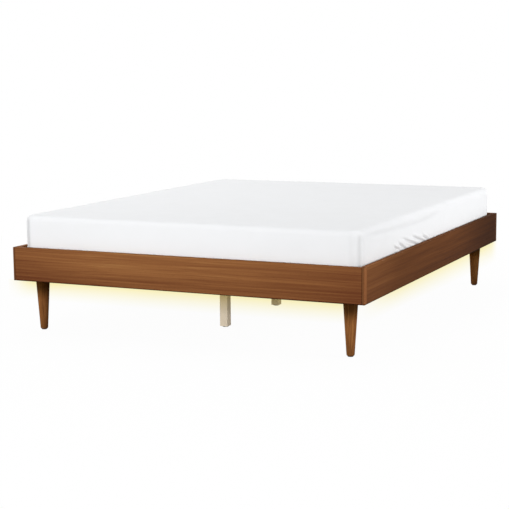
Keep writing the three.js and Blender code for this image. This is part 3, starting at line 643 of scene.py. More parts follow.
# %% Rows of the sheet, from the flat top to the hem
mattress_low, mattress_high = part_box("mattress")
sheet_low, sheet_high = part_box("fitted_sheet")
side_bulge, top_crown = 3 * mm, 5 * mm
top_radius, bottom_radius = 27 * mm, 17 * mm
top_turn_steps, bottom_turn_steps, hem_steps = 7, 5, 5
hem_width = 90 * mm
gather_rows = (115 * mm, 15 * mm)  # the rows between these distances from the lower edge lie closer
last_row = 7 * mm
upper_row_step, gather_row_step = 9 * mm, 5 * mm
half_width, half_length = sheet_high.x - side_bulge, sheet_high.y - side_bulge
rim_height = sheet_high.z - top_crown


def even_places(start, stop, step):
    count = max(2, round((stop - start) / step))
    return [start + (stop - start) * i / count for i in range(count)]


def side_drops(depth):
    """How far below the rim each row of the upright side lies."""
    gather_start, gather_end = (depth - distance for distance in gather_rows)
    return (even_places(0.0, gather_start, upper_row_step)[1:]
            + even_places(gather_start, gather_end, gather_row_step) + [gather_end, depth - last_row, depth])


def cloth_profile():
    """Rows from the flat top to the hem: inset, height, cloth length so far, and share of the bulge."""
    rows = [(top_radius, rim_height, 0.0, 0.0)]
    for i in range(1, top_turn_steps + 1):
        angle = math.radians(90 * i / top_turn_steps)
        rows.append((top_radius * (1 - math.sin(angle)), rim_height - top_radius * (1 - math.cos(angle)),
                     top_radius * angle, 0.0))
    side_top, side_bottom = rim_height - top_radius, sheet_low.z + bottom_radius
    side_start = rows[-1][2]
    for drop in side_drops(side_top - side_bottom):
        share = drop / (side_top - side_bottom)
        fullness = math.sin(math.pi * min(share, 0.5)) * (1 - smooth(share, 0.8, 1.0))
        rows.append((0.0, side_top - drop, side_start + drop, fullness))
    under_start = rows[-1][2]
    for i in range(1, bottom_turn_steps + 1):
        angle = math.radians(90 * i / bottom_turn_steps)
        rows.append((bottom_radius * (1 - math.cos(angle)), side_bottom - bottom_radius * math.sin(angle),
                     under_start + bottom_radius * angle, 0.0))
    hem_start = rows[-1][2]
    for i in range(1, hem_steps + 1):
        reach = (hem_width - bottom_radius) * i / hem_steps
        rows.append((bottom_radius + reach, sheet_low.z, hem_start + reach, 0.0))
    return rows


profile = cloth_profile()
print("rows from rim to hem:", len(profile))

# %% [markdown]
# Columns and corners. The columns stand close together only where the folds show. At a corner, the square
# grid of the top bends into a round one, and the side's columns turn round the corner and meet its
# neighbour's at the seam. Each point also keeps its place in the flat cut as a UV coordinate in metres.

# %% Sew the sheet
plan_radius, least_radius = 54 * mm, 16 * mm
corner_steps = 9
column_step, gather_column_step = 26 * mm, 4.4 * mm
gather_zone = (-0.66, -0.04)
doubles_gap = 0.3 * mm
crown_flatness = 0.7
straight_x, straight_y = half_width - plan_radius, half_length - plan_radius
top_corner = plan_radius - top_radius
cloth = bmesh.new()
flat_cut = cloth.loops.layers.uv.new("flat_cut")


def grid_columns(places):
    """Columns of the grid: a share of the straight stretch, and a turn of up to 1 round half a corner."""
    turns = [i / corner_steps for i in range(1, corner_steps + 1)]
    return ([(-1.0, -t) for t in reversed(turns)] + [(p / places[-1], 0.0) for p in places]
            + [(1.0, t) for t in turns])


def side_point(along, turn, inset, half_along, half_out, bulge):
    radius = max(plan_radius - inset, least_radius)
    drawn_in = inset - (plan_radius - radius)
    angle = math.radians(45 * turn)
    swell = bulge * math.cos(math.pi / 2 * along) if turn == 0 else 0.0
    return (along * (half_along - drawn_in) + radius * math.sin(angle),
            half_out - drawn_in + radius * math.cos(angle) + swell)


def corner_offset(turn_x, turn_y):
    """Where a point of the square grid lies in the round corner, as a share of its radius."""
    if abs(turn_y) >= abs(turn_x):
        angle = math.radians(45) * turn_x / (abs(turn_y) or 1)
        return abs(turn_y) * math.sin(angle), turn_y * math.cos(angle)
    angle = math.radians(45) * turn_y / abs(turn_x)
    return turn_x * math.cos(angle), abs(turn_x) * math.sin(angle)


def sew_grid(rows):
    """Faces from rows of pairs: where a point lies, and its place in the flat cut."""
    verts = [[cloth.verts.new(point) for point, _ in row] for row in rows]
    for r in range(len(rows) - 1):
        for c in range(len(rows[0]) - 1):
            cells = ((r, c), (r, c + 1), (r + 1, c + 1), (r + 1, c))
            face = cloth.faces.new([verts[i][j] for i, j in cells])
            for loop, (i, j) in zip(face.loops, cells):
                loop[flat_cut].uv = rows[i][j][1]


def top_pair(along_x, turn_x, along_y, turn_y):
    dx, dy = corner_offset(turn_x, turn_y)
    x, y = along_x * straight_x + top_corner * dx, along_y * straight_y + top_corner * dy
    rise = (max(0.0, 1 - (x / (half_width - top_radius)) ** 2)
            * max(0.0, 1 - (y / (half_length - top_radius)) ** 2))
    return ((x, y, rim_height + top_crown * rise ** crown_flatness),
            (along_x * straight_x + top_corner * turn_x, along_y * straight_y + top_corner * turn_y))


columns_x = grid_columns(even_places(-straight_x, straight_x, column_step) + [straight_x])
columns_y = grid_columns(
    even_places(-straight_y, gather_zone[0], column_step)
    + even_places(*gather_zone, gather_column_step)
    + even_places(gather_zone[1], straight_y, column_step) + [straight_y])
sew_grid([[top_pair(*column_x, *column_y) for column_x in columns_x] for column_y in columns_y])
for axis, columns, half_along, half_out in (("x", columns_x, straight_x, straight_y),
                                            ("y", columns_y, straight_y, straight_x)):
    for sign in (-1, 1):
        rows = []
        for inset, height, length, bulge_share in profile:
            row = []
            for along, turn in columns:
                side, out = side_point(along, turn, inset, half_along, half_out, side_bulge * bulge_share)
                out, flat_out = sign * out, sign * (half_out + top_corner + length)
                flat_side = along * half_along + top_corner * turn
                row.append(((side, out, height), (flat_side, flat_out)) if axis == "x"
                           else ((out, side, height), (flat_out, flat_side)))
            rows.append(row)
        sew_grid(rows)
bmesh.ops.remove_doubles(cloth, verts=cloth.verts, dist=doubles_gap)
bmesh.ops.recalc_face_normals(cloth, faces=cloth.faces)
if sum(f.normal.z * f.calc_area() for f in cloth.faces) < 0:
    bmesh.ops.reverse_faces(cloth, faces=cloth.faces)

# %% [markdown]
# Folds of the sheet. Where the elastic pulls, the cotton gathers into slanting folds: a narrow valley
# between two soft ridges, deepest where it starts and dying out toward the hem. Each fold is one stroke
# on the side, given by its two ends, and a formula turns the distance from the stroke into a height. The
# right side has the folds that show above the board, and the left side and the head end get a few slight
# ones from a fixed seed. The same formula says how deep in a fold a point lies, from 0 to 1.

# %% Folds
fold_depth, fold_ridge = 5.5 * mm, 5.0 * mm
valley_width, ridge_width = 5.5 * mm, 13 * mm
hollow_width = 5.2 * mm
fold_hollow = 0.62
fold_starts, fold_ends = (-0.30, 0.25), (1.0, 1.7)  # in lengths of the stroke
hollow_starts, hollow_ends = (-0.15, 0.35), (0.8, 1.5)
shown_folds = (
    ((-0.579, 0.405), (-0.529, 0.390)),
    ((-0.519, 0.414), (-0.433, 0.382)),
    ((-0.456, 0.425), (-0.293, 0.383)),
    ((-0.330, 0.421), (-0.184, 0.384)),
    ((-0.184, 0.407), (-0.116, 0.385)),
)
fold_rng = random.Random(7)


def slight_folds(count, reach):
    """Short slanting strokes at even spacing with a little scatter."""
    strokes = []
    for i in range(count):
        start = reach * (-0.8 + 1.6 * (i + fold_rng.uniform(0.2, 0.8)) / count)
        lean = fold_rng.uniform(0.05, 0.13) * fold_rng.choice((-1, 1))
        height = fold_rng.uniform(0.40, 0.425)
        strokes.append(((start, height), (start + lean, height - fold_rng.uniform(0.025, 0.035))))
    return strokes


side_folds = {
    "right": (shown_folds, 1.0),
    "left": (slight_folds(5, half_length), 0.45),
    "head": (slight_folds(3, half_width), 0.35),
}


def fold_height(point, strokes):
    height, hollow = 0.0, 0.0
    for (a0, b0), (a1, b1) in strokes:
        run, drop = a1 - a0, b1 - b0
        length = math.hypot(run, drop)
        share = ((point[0] - a0) * run + (point[1] - b0) * drop) / length ** 2
        off = ((point[0] - a0) * drop - (point[1] - b0) * run) / length
        if not -0.5 < share < 2.0 or abs(off) > 4 * ridge_width:
            continue
        fade = smooth(share, *fold_starts) * (1 - smooth(share, *fold_ends))
        ridge = fold_ridge * math.exp(-(off / ridge_width) ** 2)
        valley = (fold_ridge + fold_depth) * math.exp(-(off / valley_width) ** 2)
        height += fade * (ridge - valley)
        deep = smooth(share, *hollow_starts) * (1 - smooth(share, *hollow_ends))
        hollow = max(hollow, fold_hollow * deep * math.exp(-(off / hollow_width) ** 2))
    return height, hollow


print("folds:", {side: len(strokes) for side, (strokes, _) in side_folds.items()})

# %% [markdown]
# The elastic also draws a long shallow hollow along the right side, and the corner seams draw the cloth in
# and pucker it. All of it moves each point along its own normal, within the few millimetres that are free
# between mattress and board.

# %% Tension, seams and the final shape
tension_line = ((-0.985, 0.500), (-0.643, 0.487), (-0.272, 0.475), (-0.077, 0.481), (0.129, 0.492))
tension_start, tension_end = (-0.985, -0.80), (-0.05, 0.129)
tension_depth, tension_width, tension_hollow = 2.9 * mm, 10 * mm, 0.18
seam_depth, seam_half_width, seam_hollow = 4.2 * mm, 12 * mm, 0.36
seam_turn = math.radians(12)
seam_top = (rim_height - 35 * mm, rim_height - 2 * mm)
pucker_height, pucker_pitch = 0.4 * mm, 13 * mm
drape_waves = ((1.3 * mm, 4.0, Vector()), (0.7 * mm, 11.0, Vector((5, 3, 1))))
most_inward, most_beside_board, most_above_board = 6.0 * mm, 4.3 * mm, 8 * mm
board_top_zone = (0.388, 0.410)
side_steepness = 0.8


def tension_height(point):
    for (y0, z0), (y1, z1) in zip(tension_line, tension_line[1:]):
        if y0 <= point[0] <= y1:
            level = z0 + (z1 - z0) * (point[0] - y0) / (y1 - y0)
            ends = smooth(point[0], *tension_start) * (1 - smooth(point[0], *tension_end))
            share = ends * math.exp(-((point[1] - level) / tension_width) ** 2)
            return -tension_depth * share, tension_hollow * share
    return 0.0, 0.0


def cloth_height(place, normal):
    """How far a point of the cloth moves out along its normal, and how deep in a fold it lies."""
    hollow = 0.0
    across, along = abs(place.x) - straight_x, abs(place.y) - straight_y
    height = sum(size * noise.noise(place * scale + offset) for size, scale, offset in drape_waves)
    if across > 0 and along > 0:
        seam = math.pi / 4 - seam_turn * (1 if place.x * place.y < 0 else -1)
        bend = (math.atan2(along, across) - seam) * plan_radius
        beside_seam = (1 - smooth(place.z, *seam_top)) * math.exp(-(bend / seam_half_width) ** 2)
        ripple = pucker_height * math.sin(2 * math.pi * place.z / pucker_pitch)
        height += beside_seam * (ripple - seam_depth)
        hollow = seam_hollow * beside_seam
    elif abs(normal.z) < side_steepness:
        if abs(normal.x) > abs(normal.y):
            point, side = (place.y, place.z), "right" if place.x > 0 else "left"
        else:
            point, side = (place.x, place.z), "head" if place.y > 0 else "foot"
        strokes, strength = side_folds.get(side, ((), 0.0))
        fold, hollow = fold_height(point, strokes)
        height, hollow = height + strength * fold, strength * hollow
        if side == "right":
            slack, shade = tension_height(point)
            height, hollow = height + slack, max(hollow, shade)
    most = most_beside_board + (most_above_board - most_beside_board) * smooth(place.z, *board_top_zone)
    if place.z < sheet_low.z + bottom_radius:
        height *= smooth(place.z, sheet_low.z, sheet_low.z + bottom_radius)
    return min(most, max(-most_inward, height)), hollow


cloth.normal_update()
# The hollow attribute is painted shade for the cotton finish: in folds, beside the corner seams and along the
# tension line.
depth_in_fold = cloth.verts.layers.float.new("hollow")
moves = [(v, v.normal.copy(), *cloth_height(v.co, v.normal)) for v in cloth.verts]
for v, outward, height, hollow in moves:
    v.co += outward * height
    v.co.z = max(v.co.z, sheet_low.z)
    v[depth_in_fold] = hollow
cloth_mesh = bpy.data.meshes.new("cotton_sheet")
cloth.to_mesh(cloth_mesh)
cloth.free()
cloth_mesh.polygons.foreach_set("use_smooth", [True] * len(cloth_mesh.polygons))
print("folds moved the cloth by up to", round(max(abs(move[2]) for move in moves) / mm, 1), "mm")

# %% [markdown]
# Cotton percale. A plain weave of fine combed yarn, bleached white and washed: fully matt, with a faint
# bloom at grazing angles where the fibres stand up. Its threads are 0.25 mm apart, too fine to show, so
# the weave is drawn 1.6 mm apart, and only as relief. It follows the flat cut of the cloth, so the
# threads run straight over the top and turn down each side as sewn cloth does. Deep in a fold the cloth
# looks greyer, because little light gets in between its own walls, and the attribute that was kept for
# each point's depth does that where the mesh is too coarse to shade itself.

# %% Cotton finish
shown_thread = 1.6 * mm
hollow_shade = 0.42
finishes["cotton"], tree, surface = new_material("bleached_cotton_percale")
flat = add(tree, "UVMap", uv_map="flat_cut")
u, v, _ = add(tree, "SeparateXYZ", flat).outputs
weave = product(tree, [wave(tree, u, shown_thread), wave(tree, v, shown_thread)])
creases = add(tree, "TexNoise", flat, 9.0, 4.0, 0.6)
relief = add(tree, "Math MULTIPLY_ADD", weave, 0.03, creases)
bump = add(tree, "Bump", 0.35, 1.6 * mm, {"Height": relief})
tone = add(tree, "Mix", creases, linear("ecedee"), linear("f0f1f3"), data_type="RGBA")
depth = add(tree, "Attribute", attribute_name="hollow").outputs["Fac"]
kept = add(tree, "Math MULTIPLY_ADD", depth, -hollow_shade, 1.0)
shaded = add(tree, "VectorMath SCALE", tone, kept)
connect(tree, surface, {"Base Color": shaded, "Normal": bump, "Roughness": 0.92, "Specular IOR Level": 0.12,
                        "Sheen Weight": 0.14, "Sheen Roughness": 0.5})
finishes["cotton_hem"] = even_skin("folded_cotton_hem", "f0f0ee", "e9e9e6", 0.92, 0.9, relief_mm=0.1)
print("threads drawn", round(shown_thread / mm, 1), "mm apart")

# %% [markdown]
# The sheet is 0.8 mm thick here, a hem's double layer, so that it is one closed skin with an inside and
# an outside. Solidify gives that thickness inward, toward the mattress.

# %% Finish the sheet
cloth_thickness = 0.8 * mm
sheet = new_object("cotton_sheet", cloth_mesh, finishes["cotton"])
wall = sheet.modifiers.new("cloth_thickness", "SOLIDIFY")
wall.thickness = cloth_thickness
wall.offset = -1
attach(sheet, "mattress")
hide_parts("fitted_sheet")
print("sheet wall, mm:", round(cloth_thickness / mm, 1))

# %% [markdown]
# The mattress. Foam and springs in a quilted cover, which swells a little between its edges. It could be
# a rounded box, but a filled cover has a softer form, so a slightly small box is inflated like a balloon
# for a moment: Blender's Cloth with inner pressure and no gravity. The result is capped, so that it stays
# inside the sheet, and its underside is laid flat again, because it rests on the slats. The remesh gives
# the simulation even squares to work with.

# %% Plump the mattress
cover_shrink, cover_top_shrink = 9 * mm, 7 * mm
cover_voxel = 24 * mm
cover_pressure = 4.0
cover_frames = 20
most_swell = 2.5 * mm
rest_gap = 0.3 * mm
faces_down = -0.7
under = mattress_low.z + rest_gap

start = bmesh.new()
start.from_mesh(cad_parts["mattress"].data)
bmesh.ops.remove_doubles(start, verts=start.verts, dist=weld_gap_mm * mm)
mattress_size = mattress_high - mattress_low
for v in start.verts:
    v.co.x *= 1 - 2 * cover_shrink / mattress_size.x
    v.co.y *= 1 - 2 * cover_shrink / mattress_size.y
    rise = (v.co.z - mattress_low.z) / mattress_size.z
    v.co.z = under + rise * (mattress_size.z - cover_top_shrink - rest_gap)
cover_mesh = bpy.data.meshes.new("mattress_cover")
start.to_mesh(cover_mesh)
start.free()
cover = new_object("mattress_cover", cover_mesh)
even_squares = cover.modifiers.new("even_squares", "REMESH")
even_squares.mode = "VOXEL"
even_squares.voxel_size = cover_voxel


def settle(piece):
    """Replaces the piece's mesh with what its modifiers make of it, and removes them."""
    made = bpy.data.meshes.new_from_object(piece.evaluated_get(bpy.context.evaluated_depsgraph_get()))
    piece.modifiers.clear()
    old = piece.data
    piece.data = made
    made.name = piece.name
    bpy.data.meshes.remove(old)


settle(cover)
before = [v.co.copy() for v in cover.data.vertices]
swelling = cover.modifiers.new("swelling", "CLOTH")
swelling.settings.use_pressure = True
swelling.settings.uniform_pressure_force = cover_pressure
swelling.settings.effector_weights.gravity = 0
for step in range(1, cover_frames + 1):
    bpy.context.scene.frame_set(step)
settle(cover)
bpy.context.scene.frame_set(1)
for v, origin in zip(cover.data.vertices, before):
    move = v.co - origin
    v.co = origin + move * min(1.0, most_swell / max(move.length, 1e-9))
for v in cover.data.vertices:
    if v.normal.z < faces_down or v.co.z < under:
        v.co.z = under
finer = cover.modifiers.new("finer", "SUBSURF")
finer.levels = finer.render_levels = 1
settle(cover)
for v in cover.data.vertices:
    v.co.z = max(v.co.z, under)
cover.data.polygons.foreach_set("use_smooth", [True] * len(cover.data.polygons))
print("mattress cover faces:", len(cover.data.polygons), "box:", [round(c, 4) for c in cover.dimensions])

# %% [markdown]
# Ticking. The cover of a mattress is a close, firm twill in natural white with narrow woven stripes. The
# diagonal of the twill and the stripes come from the place on the cover. The stripes are at their real
# pitch, and the twill, 0.8 mm on the real cloth, is drawn at 2.4 mm, so that it shows.

# %% Ticking finish
stripe_pitch, twill_pitch = 28 * mm, 2.4 * mm
stripe_edge = (0.86, 0.94)
finishes["ticking"], tree, surface = new_material("striped_cotton_ticking")
place = add(tree, "TexCoord").outputs["Object"]
x, y, _ = add(tree, "SeparateXYZ", place).outputs
stripe = add(tree, "MapRange", wave(tree, x, stripe_pitch, "COSINE"), *stripe_edge)
twill = wave(tree, add(tree, "Math ADD", x, y), twill_pitch)
colour = add(tree, "Mix", stripe, linear("e9e6de"), linear("b9bcc0"), data_type="RGBA")
bump = add(tree, "Bump", 0.3, 0.15 * mm, {"Height": twill})
connect(tree, surface, {"Base Color": colour, "Normal": bump, "Roughness": 0.9, "Specular IOR Level": 0.15})
cover.data.materials.append(finishes["ticking"])
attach(cover, "mattress")
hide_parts("mattress")
print("stripes on the cover:", round(mattress_size.x / stripe_pitch))

# %% [markdown]
# Geometry Nodes, and the first tree: the webbing over the slats. A roll-up slatted base is held together
# by two nylon tapes, stapled to each slat, which hang slack between one slat and the next. The tape
# follows a rule, so a tree makes it: a straight line of points along the bed, a dip between the slats
# worked out from each point's distance to the nearest slat, and a flat profile swept along the line. A
# helper starts a tree and names its inputs, and a second one puts the tree on a piece, types in the
# inputs by their identifiers, and turns the result into a plain mesh.

# %% Helpers for geometry trees
socket_kinds = {float: "NodeSocketFloat", int: "NodeSocketInt", tuple: "NodeSocketVector"}


def new_tree(name, **inputs):
    """A geometry tree whose inputs are the seeds, the named sizes and the finish."""
    tree = bpy.data.node_groups.new(name, "GeometryNodeTree")
    tree.interface.new_socket("Geometry", in_out="INPUT", socket_type="NodeSocketGeometry")
    tree.interface.new_socket("Geometry", in_out="OUTPUT", socket_type="NodeSocketGeometry")
    for label, value in inputs.items():
        socket = tree.interface.new_socket(label, in_out="INPUT", socket_type=socket_kinds[type(value)])
        socket.default_value = value
    tree.interface.new_socket("Finish", in_out="INPUT", socket_type="NodeSocketMaterial")
    return tree, add(tree, "NodeGroupInput").outputs


def end_tree(tree, geometry, finish):
    """Real points instead of instances, one finish, and the tree's output."""
    real = add(tree, "GeometryNodeRealizeInstances", geometry)
    painted = add(tree, "GeometryNodeSetMaterial", real, {"Material": finish})
    add(tree, "NodeGroupOutput", painted)


def grow(name, tree, seeds, finish, slot, body="frame", replaced=(), **values):
    """A plain mesh piece that the tree makes from the seed points, on its body."""
    piece = new_object(name, seeds)
    maker = piece.modifiers.new(tree.name, "NODES")
    maker.node_group = tree
    values["Finish"] = finishes[finish]
    for item in tree.interface.items_tree:
        if item.in_out == "INPUT" and item.name in values:
            maker[item.identifier] = values[item.name]
    settle(piece)
    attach(piece, body)
    if replaced:
        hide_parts(*replaced)
    print(name, len(piece.data.polygons), "faces")
    return piece


print("kinds of input:", list(socket_kinds.values()))

# %% [markdown]
# Woven nylon tape. Webbing is a thick, tight weave whose ribs run across the tape, natural white with a
# slight shine, because nylon yarn is smooth. The ribs are 1.5 mm apart and show as relief.

# %% Webbing finish and tree
rib_pitch = 1.5 * mm
finishes["webbing"], tree, surface = new_material("woven_nylon_tape")
place = add(tree, "TexCoord").outputs["Object"]
along = add(tree, "SeparateXYZ", place).outputs["Y"]
rib = wave(tree, along, rib_pitch)
yarn = add(tree, "TexNoise", place, 420.0, 1.0)
tone = add(tree, "Mix", yarn, linear("cfcbc0"), linear("e4e1d8"), data_type="RGBA")
bump = add(tree, "Bump", 0.5, 0.2 * mm, {"Height": rib})
connect(tree, surface, {"Base Color": tone, "Normal": bump, "Roughness": 0.6})

webbing_tree, given = new_tree(
    "webbing_over_slats", Start=(0.0, -0.5, 0.0), End=(0.0, 0.5, 0.0), Width=0.025, Thickness=0.001,
    Pitch=0.15, First=0.0, SlatHalfWidth=0.035, Dip=0.002, Samples=400)
tree = webbing_tree
line = add(tree, "GeometryNodeCurvePrimitiveLine", given["Start"], given["End"])
fine_line = add(tree, "GeometryNodeResampleCurve", line, {"Count": given["Samples"]})
here = add(tree, "SeparateXYZ", add(tree, "GeometryNodeInputPosition")).outputs["Y"]
from_first = add(tree, "Math SUBTRACT", here, given["First"])
turn = add(tree, "Math DIVIDE", from_first, given["Pitch"])
nearest = add(tree, "Math ROUND", turn)
off_slat = add(tree, "Math SUBTRACT", turn, nearest)
off_slat = add(tree, "Math ABSOLUTE", off_slat)
off_slat = add(tree, "Math MULTIPLY", off_slat, given["Pitch"])
half_pitch = add(tree, "Math MULTIPLY", given["Pitch"], 0.5)
between = add(tree, "MapRange", off_slat, given["SlatHalfWidth"], half_pitch,
              interpolation_type="SMOOTHSTEP")
drop = add(tree, "Math MULTIPLY", between, given["Dip"])
lower = add(tree, "VectorMath SCALE", (0, 0, -1), drop)
slack = add(tree, "GeometryNodeSetPosition", fine_line, {"Offset": lower})
section = add(tree, "GeometryNodeCurvePrimitiveQuadrilateral", given["Width"], given["Thickness"])
level = add(tree, "GeometryNodeSetCurveNormal", slack, mode="Z_UP")
tape = add(tree, "GeometryNodeCurveToMesh", level, section, {"Fill Caps": True})
end_tree(tree, tape, given["Finish"])
print("nodes in the tree:", len(tree.nodes))

# %% [markdown]
# Two tapes, one in the place of each packed strap, with its width, its thickness and its run. The slats'
# own boxes give the pitch, so that every dip falls between two slats and every crossing lies flat.

# %% Lay the webbing
slat_middles = [(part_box(n)[0].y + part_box(n)[1].y) / 2 for n in slats]
slat_half_width = (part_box(slats[0])[1].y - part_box(slats[0])[0].y) / 2
webbing_dip = 2.5 * mm
for side in ("left", "right"):
    low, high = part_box(f"slat_strap_{side}")
    middle = (low + high) / 2
    half_run = Vector((0, (high.y - low.y) / 2, 0))
    middle.y = 0
    grow(f"webbing_{side}", webbing_tree, bpy.data.meshes.new(f"webbing_{side}"), "webbing", "nylon_webbing",
         replaced=[f"slat_strap_{side}"], Start=middle - half_run, End=middle + half_run,
         Width=high.x - low.x, Thickness=high.z - low.z, Pitch=slat_middles[1] - slat_middles[0],
         First=slat_middles[0], SlatHalfWidth=slat_half_width, Dip=webbing_dip)

# %% [markdown]
# Screw heads. Every head is a shallow dome with a driving recess: a cross in a wood screw, a hexagon in a
# furniture bolt. One tree makes both. It scales a ball to the head's size, and a Boolean takes away the
# lower half and two or three crossed bars; three bars whose length is 1.732 times their width leave a
# hexagon. The seeds are bare points that carry the way each head faces. The tree turns a head to that
# way, gives it a spin from a fixed seed, because no fitter leaves all the recesses level, and places it.

# %% Tree of driven heads
head_tree, given = new_tree("driven_heads", Ball=(0.008, 0.008, 0.004), Bar=(0.004, 0.001, 0.002), Bars=2,
                            Seed=0)
tree = head_tree


def block(tree, size, middle):
    """A box with its size and its middle given as vectors."""
    return add(tree, "GeometryNodeTransform", add(tree, "GeometryNodeMeshCube", size), middle)


def copies_facing_out(tree, points, shape, seed):
    """A copy on each point: its Z along the seed point's facing, and a random spin about it."""
    facing = add(tree, "GeometryNodeInputNamedAttribute", "facing", data_type="FLOAT_VECTOR")
    upright = add(tree, "FunctionNodeAlignRotationToVector", {"Vector": facing}, axis="Z")
    angle = add(tree, "FunctionNodeRandomValue", 0.0, 2 * math.pi, {"Seed": seed}, data_type="FLOAT")
    spin = add(tree, "FunctionNodeAxisAngleToRotation", (0, 0, 1), angle)
    turned = add(tree, "FunctionNodeRotateRotation", upright, spin, rotation_space="LOCAL")
    return add(tree, "GeometryNodeInstanceOnPoints", points, {"Instance": shape, "Rotation": turned})


ball = add(tree, "GeometryNodeMeshUVSphere", 28, 14, 0.5)
dome = add(tree, "GeometryNodeTransform", ball, {"Scale": given["Ball"]})
wide = add(tree, "VectorMath MULTIPLY", given["Ball"], (1.5, 1.5, 1.0))
top = add(tree, "VectorMath MULTIPLY", given["Ball"], (0, 0, 0.5))
below = add(tree, "VectorMath SCALE", top, -1.0)
bar = block(tree, given["Bar"], top)
fan = add(tree, "GeometryNodeMeshLine", given["Bars"], {"Offset": (0, 0, 0)})
bar_step = add(tree, "Math DIVIDE", math.pi, given["Bars"])
bar_angle = add(tree, "Math MULTIPLY", add(tree, "GeometryNodeInputIndex"), bar_step)
bar_turn = add(tree, "FunctionNodeAxisAngleToRotation", (0, 0, 1), bar_angle)
bars = add(tree, "GeometryNodeInstanceOnPoints", fan, {"Instance": bar, "Rotation": bar_turn})
real_bars = add(tree, "GeometryNodeRealizeInstances", bars)
cutters = add(tree, "GeometryNodeJoinGeometry", [block(tree, wide, below), real_bars])
head = add(tree, "GeometryNodeMeshBoolean DIFFERENCE", dome, cutters, True, solver="EXACT")
end_tree(tree, copies_facing_out(tree, given["Geometry"], head, given["Seed"]), given["Finish"])


def seed_points(places):
    """Bare points, each with the way that its copy faces."""
    mesh = bpy.data.meshes.new("seed_points")
    mesh.from_pydata([point for point, _ in places], [], [])
    facing = mesh.attributes.new("facing", "FLOAT_VECTOR", "POINT")
    facing.data.foreach_set("vector", [c for _, way in places for c in way])
    return mesh


def fit_heads(name, places, seed, across, high, bars, bar_length, bar_width, depth):
    """Heads at their places, with their sizes in millimetres."""
    grow(name, head_tree, seed_points(places), "zinc", "zinc_steel", Seed=seed, Bars=bars,
         Ball=(across * mm, across * mm, 2 * high * mm),
         Bar=(bar_length * mm, bar_width * mm, 2 * depth * mm))


print("nodes in the tree:", len(tree.nodes))

# %% [markdown]
# Screws and bolts of the frame. Sixteen bolts join the boards to the corner blocks, with their heads down
# in counterbores; three join the posts to the beam; wood screws hold the hangers, the ledges and the ends
# of the slats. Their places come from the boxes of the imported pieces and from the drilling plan.

# %% Fit the screws and bolts
hex_key_mm = 5
hex_bars = (3, hex_key_mm * math.sqrt(3) / 1.5, hex_key_mm / 1.5, 2.6)
block_bolt_reach, block_bolt_inset = 102 * mm, 24 * mm
bolt_rises_x, bolt_rises_y = (12 * mm, 36 * mm), (22 * mm, 46 * mm)
shoe_wall, shoe_screw_out = 2 * mm, 25.3 * mm
shoe_screw_z = (0.2647, 0.2870)
ledge_screw_pitch = 0.2
slat_screw_x = 0.793
post_y, post_bolt_z = (-0.575, 0.0, 0.575), 0.280
block_low, block_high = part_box("corner_block_foot_right")
inner_x, inner_y = block_high.x, abs(block_low.y)
ledge_low, ledge_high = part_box("slat_ledge_right")
beam_low, beam_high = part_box("centre_beam")
slat_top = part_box(slats[0])[1].z
both_sides = (-1, 1)

block_bolts = []
for sx in both_sides:
    for sy in both_sides:
        block_bolts += [((sx * (inner_x - block_bolt_reach), sy * (inner_y - block_bolt_inset),
                          block_low.z + rise), (-sx, 0, 0)) for rise in bolt_rises_x]
        block_bolts += [((sx * (inner_x - block_bolt_inset), sy * (inner_y - block_bolt_reach),
                          block_low.z + rise), (0, -sy, 0)) for rise in bolt_rises_y]
shoe_screws = []
for name, way in (("beam_hanger_foot", 1), ("beam_hanger_head", -1)):
    low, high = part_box(name)
    face_y = low.y + shoe_wall if way == 1 else high.y - shoe_wall
    shoe_screws += [(((low.x + high.x) / 2 + sx * shoe_screw_out, face_y, z), (0, way, 0))
                    for sx in both_sides for z in shoe_screw_z]
post_bolts = [((beam_high.x, y, post_bolt_z), (1, 0, 0)) for y in post_y]
ledge_screws = [((sx * ledge_low.x, ledge_screw_pitch * i, (ledge_low.z + ledge_high.z) / 2), (-sx, 0, 0))
                for sx in both_sides for i in range(-4, 5)]
slat_screws = [((sx * slat_screw_x, y, slat_top), (0, 0, 1)) for sx in both_sides for y in slat_middles]
heads = {  # places; across and high; the bars of the recess, with their length, width and depth
    "block_bolt_heads": (block_bolts, 12.5, 5.0, *hex_bars),
    "post_bolt_heads": (post_bolts, 13.0, 5.0, *hex_bars),
    "hanger_screw_heads": (shoe_screws, 8.5, 2.6, 2, 4.6, 1.1, 1.3),
    "ledge_screw_heads": (ledge_screws, 9.0, 2.5, 2, 4.8, 1.1, 1.2),
    "slat_screw_heads": (slat_screws, 8.0, 0.6, 2, 4.6, 1.1, 0.4),
}
for seed, (name, (places, *sizes)) in enumerate(heads.items()):
    fit_heads(name, places, seed, *sizes)

# %% [markdown]
# Nuts and pins. A hexagon nut, a bolt's end and the round pin of a power socket are all short prisms with
# an eased upper rim, so one tree makes them from a number of sides: a prism, and a slightly tapered slice
# on top of it, joined by a Boolean.

# %% Tree of prisms, and the nuts and the inlet's pin
prism_tree, given = new_tree("eased_prisms", Sides=6, Radius=0.005, Straight=0.004, Rim=0.001, Seed=0)
tree = prism_tree
body = add(tree, "GeometryNodeMeshCylinder",
           {"Vertices": given["Sides"], "Radius": given["Radius"], "Depth": given["Straight"]})
top = add(tree, "CombineXYZ", {"Z": given["Straight"]})
body_up = add(tree, "GeometryNodeTransform", body, add(tree, "VectorMath SCALE", top, 0.5))
rim_radius = add(tree, "Math SUBTRACT", given["Radius"], given["Rim"])
rim = add(tree, "GeometryNodeMeshCone", {
    "Vertices": given["Sides"], "Radius Top": rim_radius, "Radius Bottom": given["Radius"],
    "Depth": given["Rim"]})
rim_up = add(tree, "GeometryNodeTransform", rim, top)
prism = add(tree, "GeometryNodeMeshBoolean UNION", [body_up, rim_up], solver="EXACT")
end_tree(tree, copies_facing_out(tree, given["Geometry"], prism, given["Seed"]), given["Finish"])


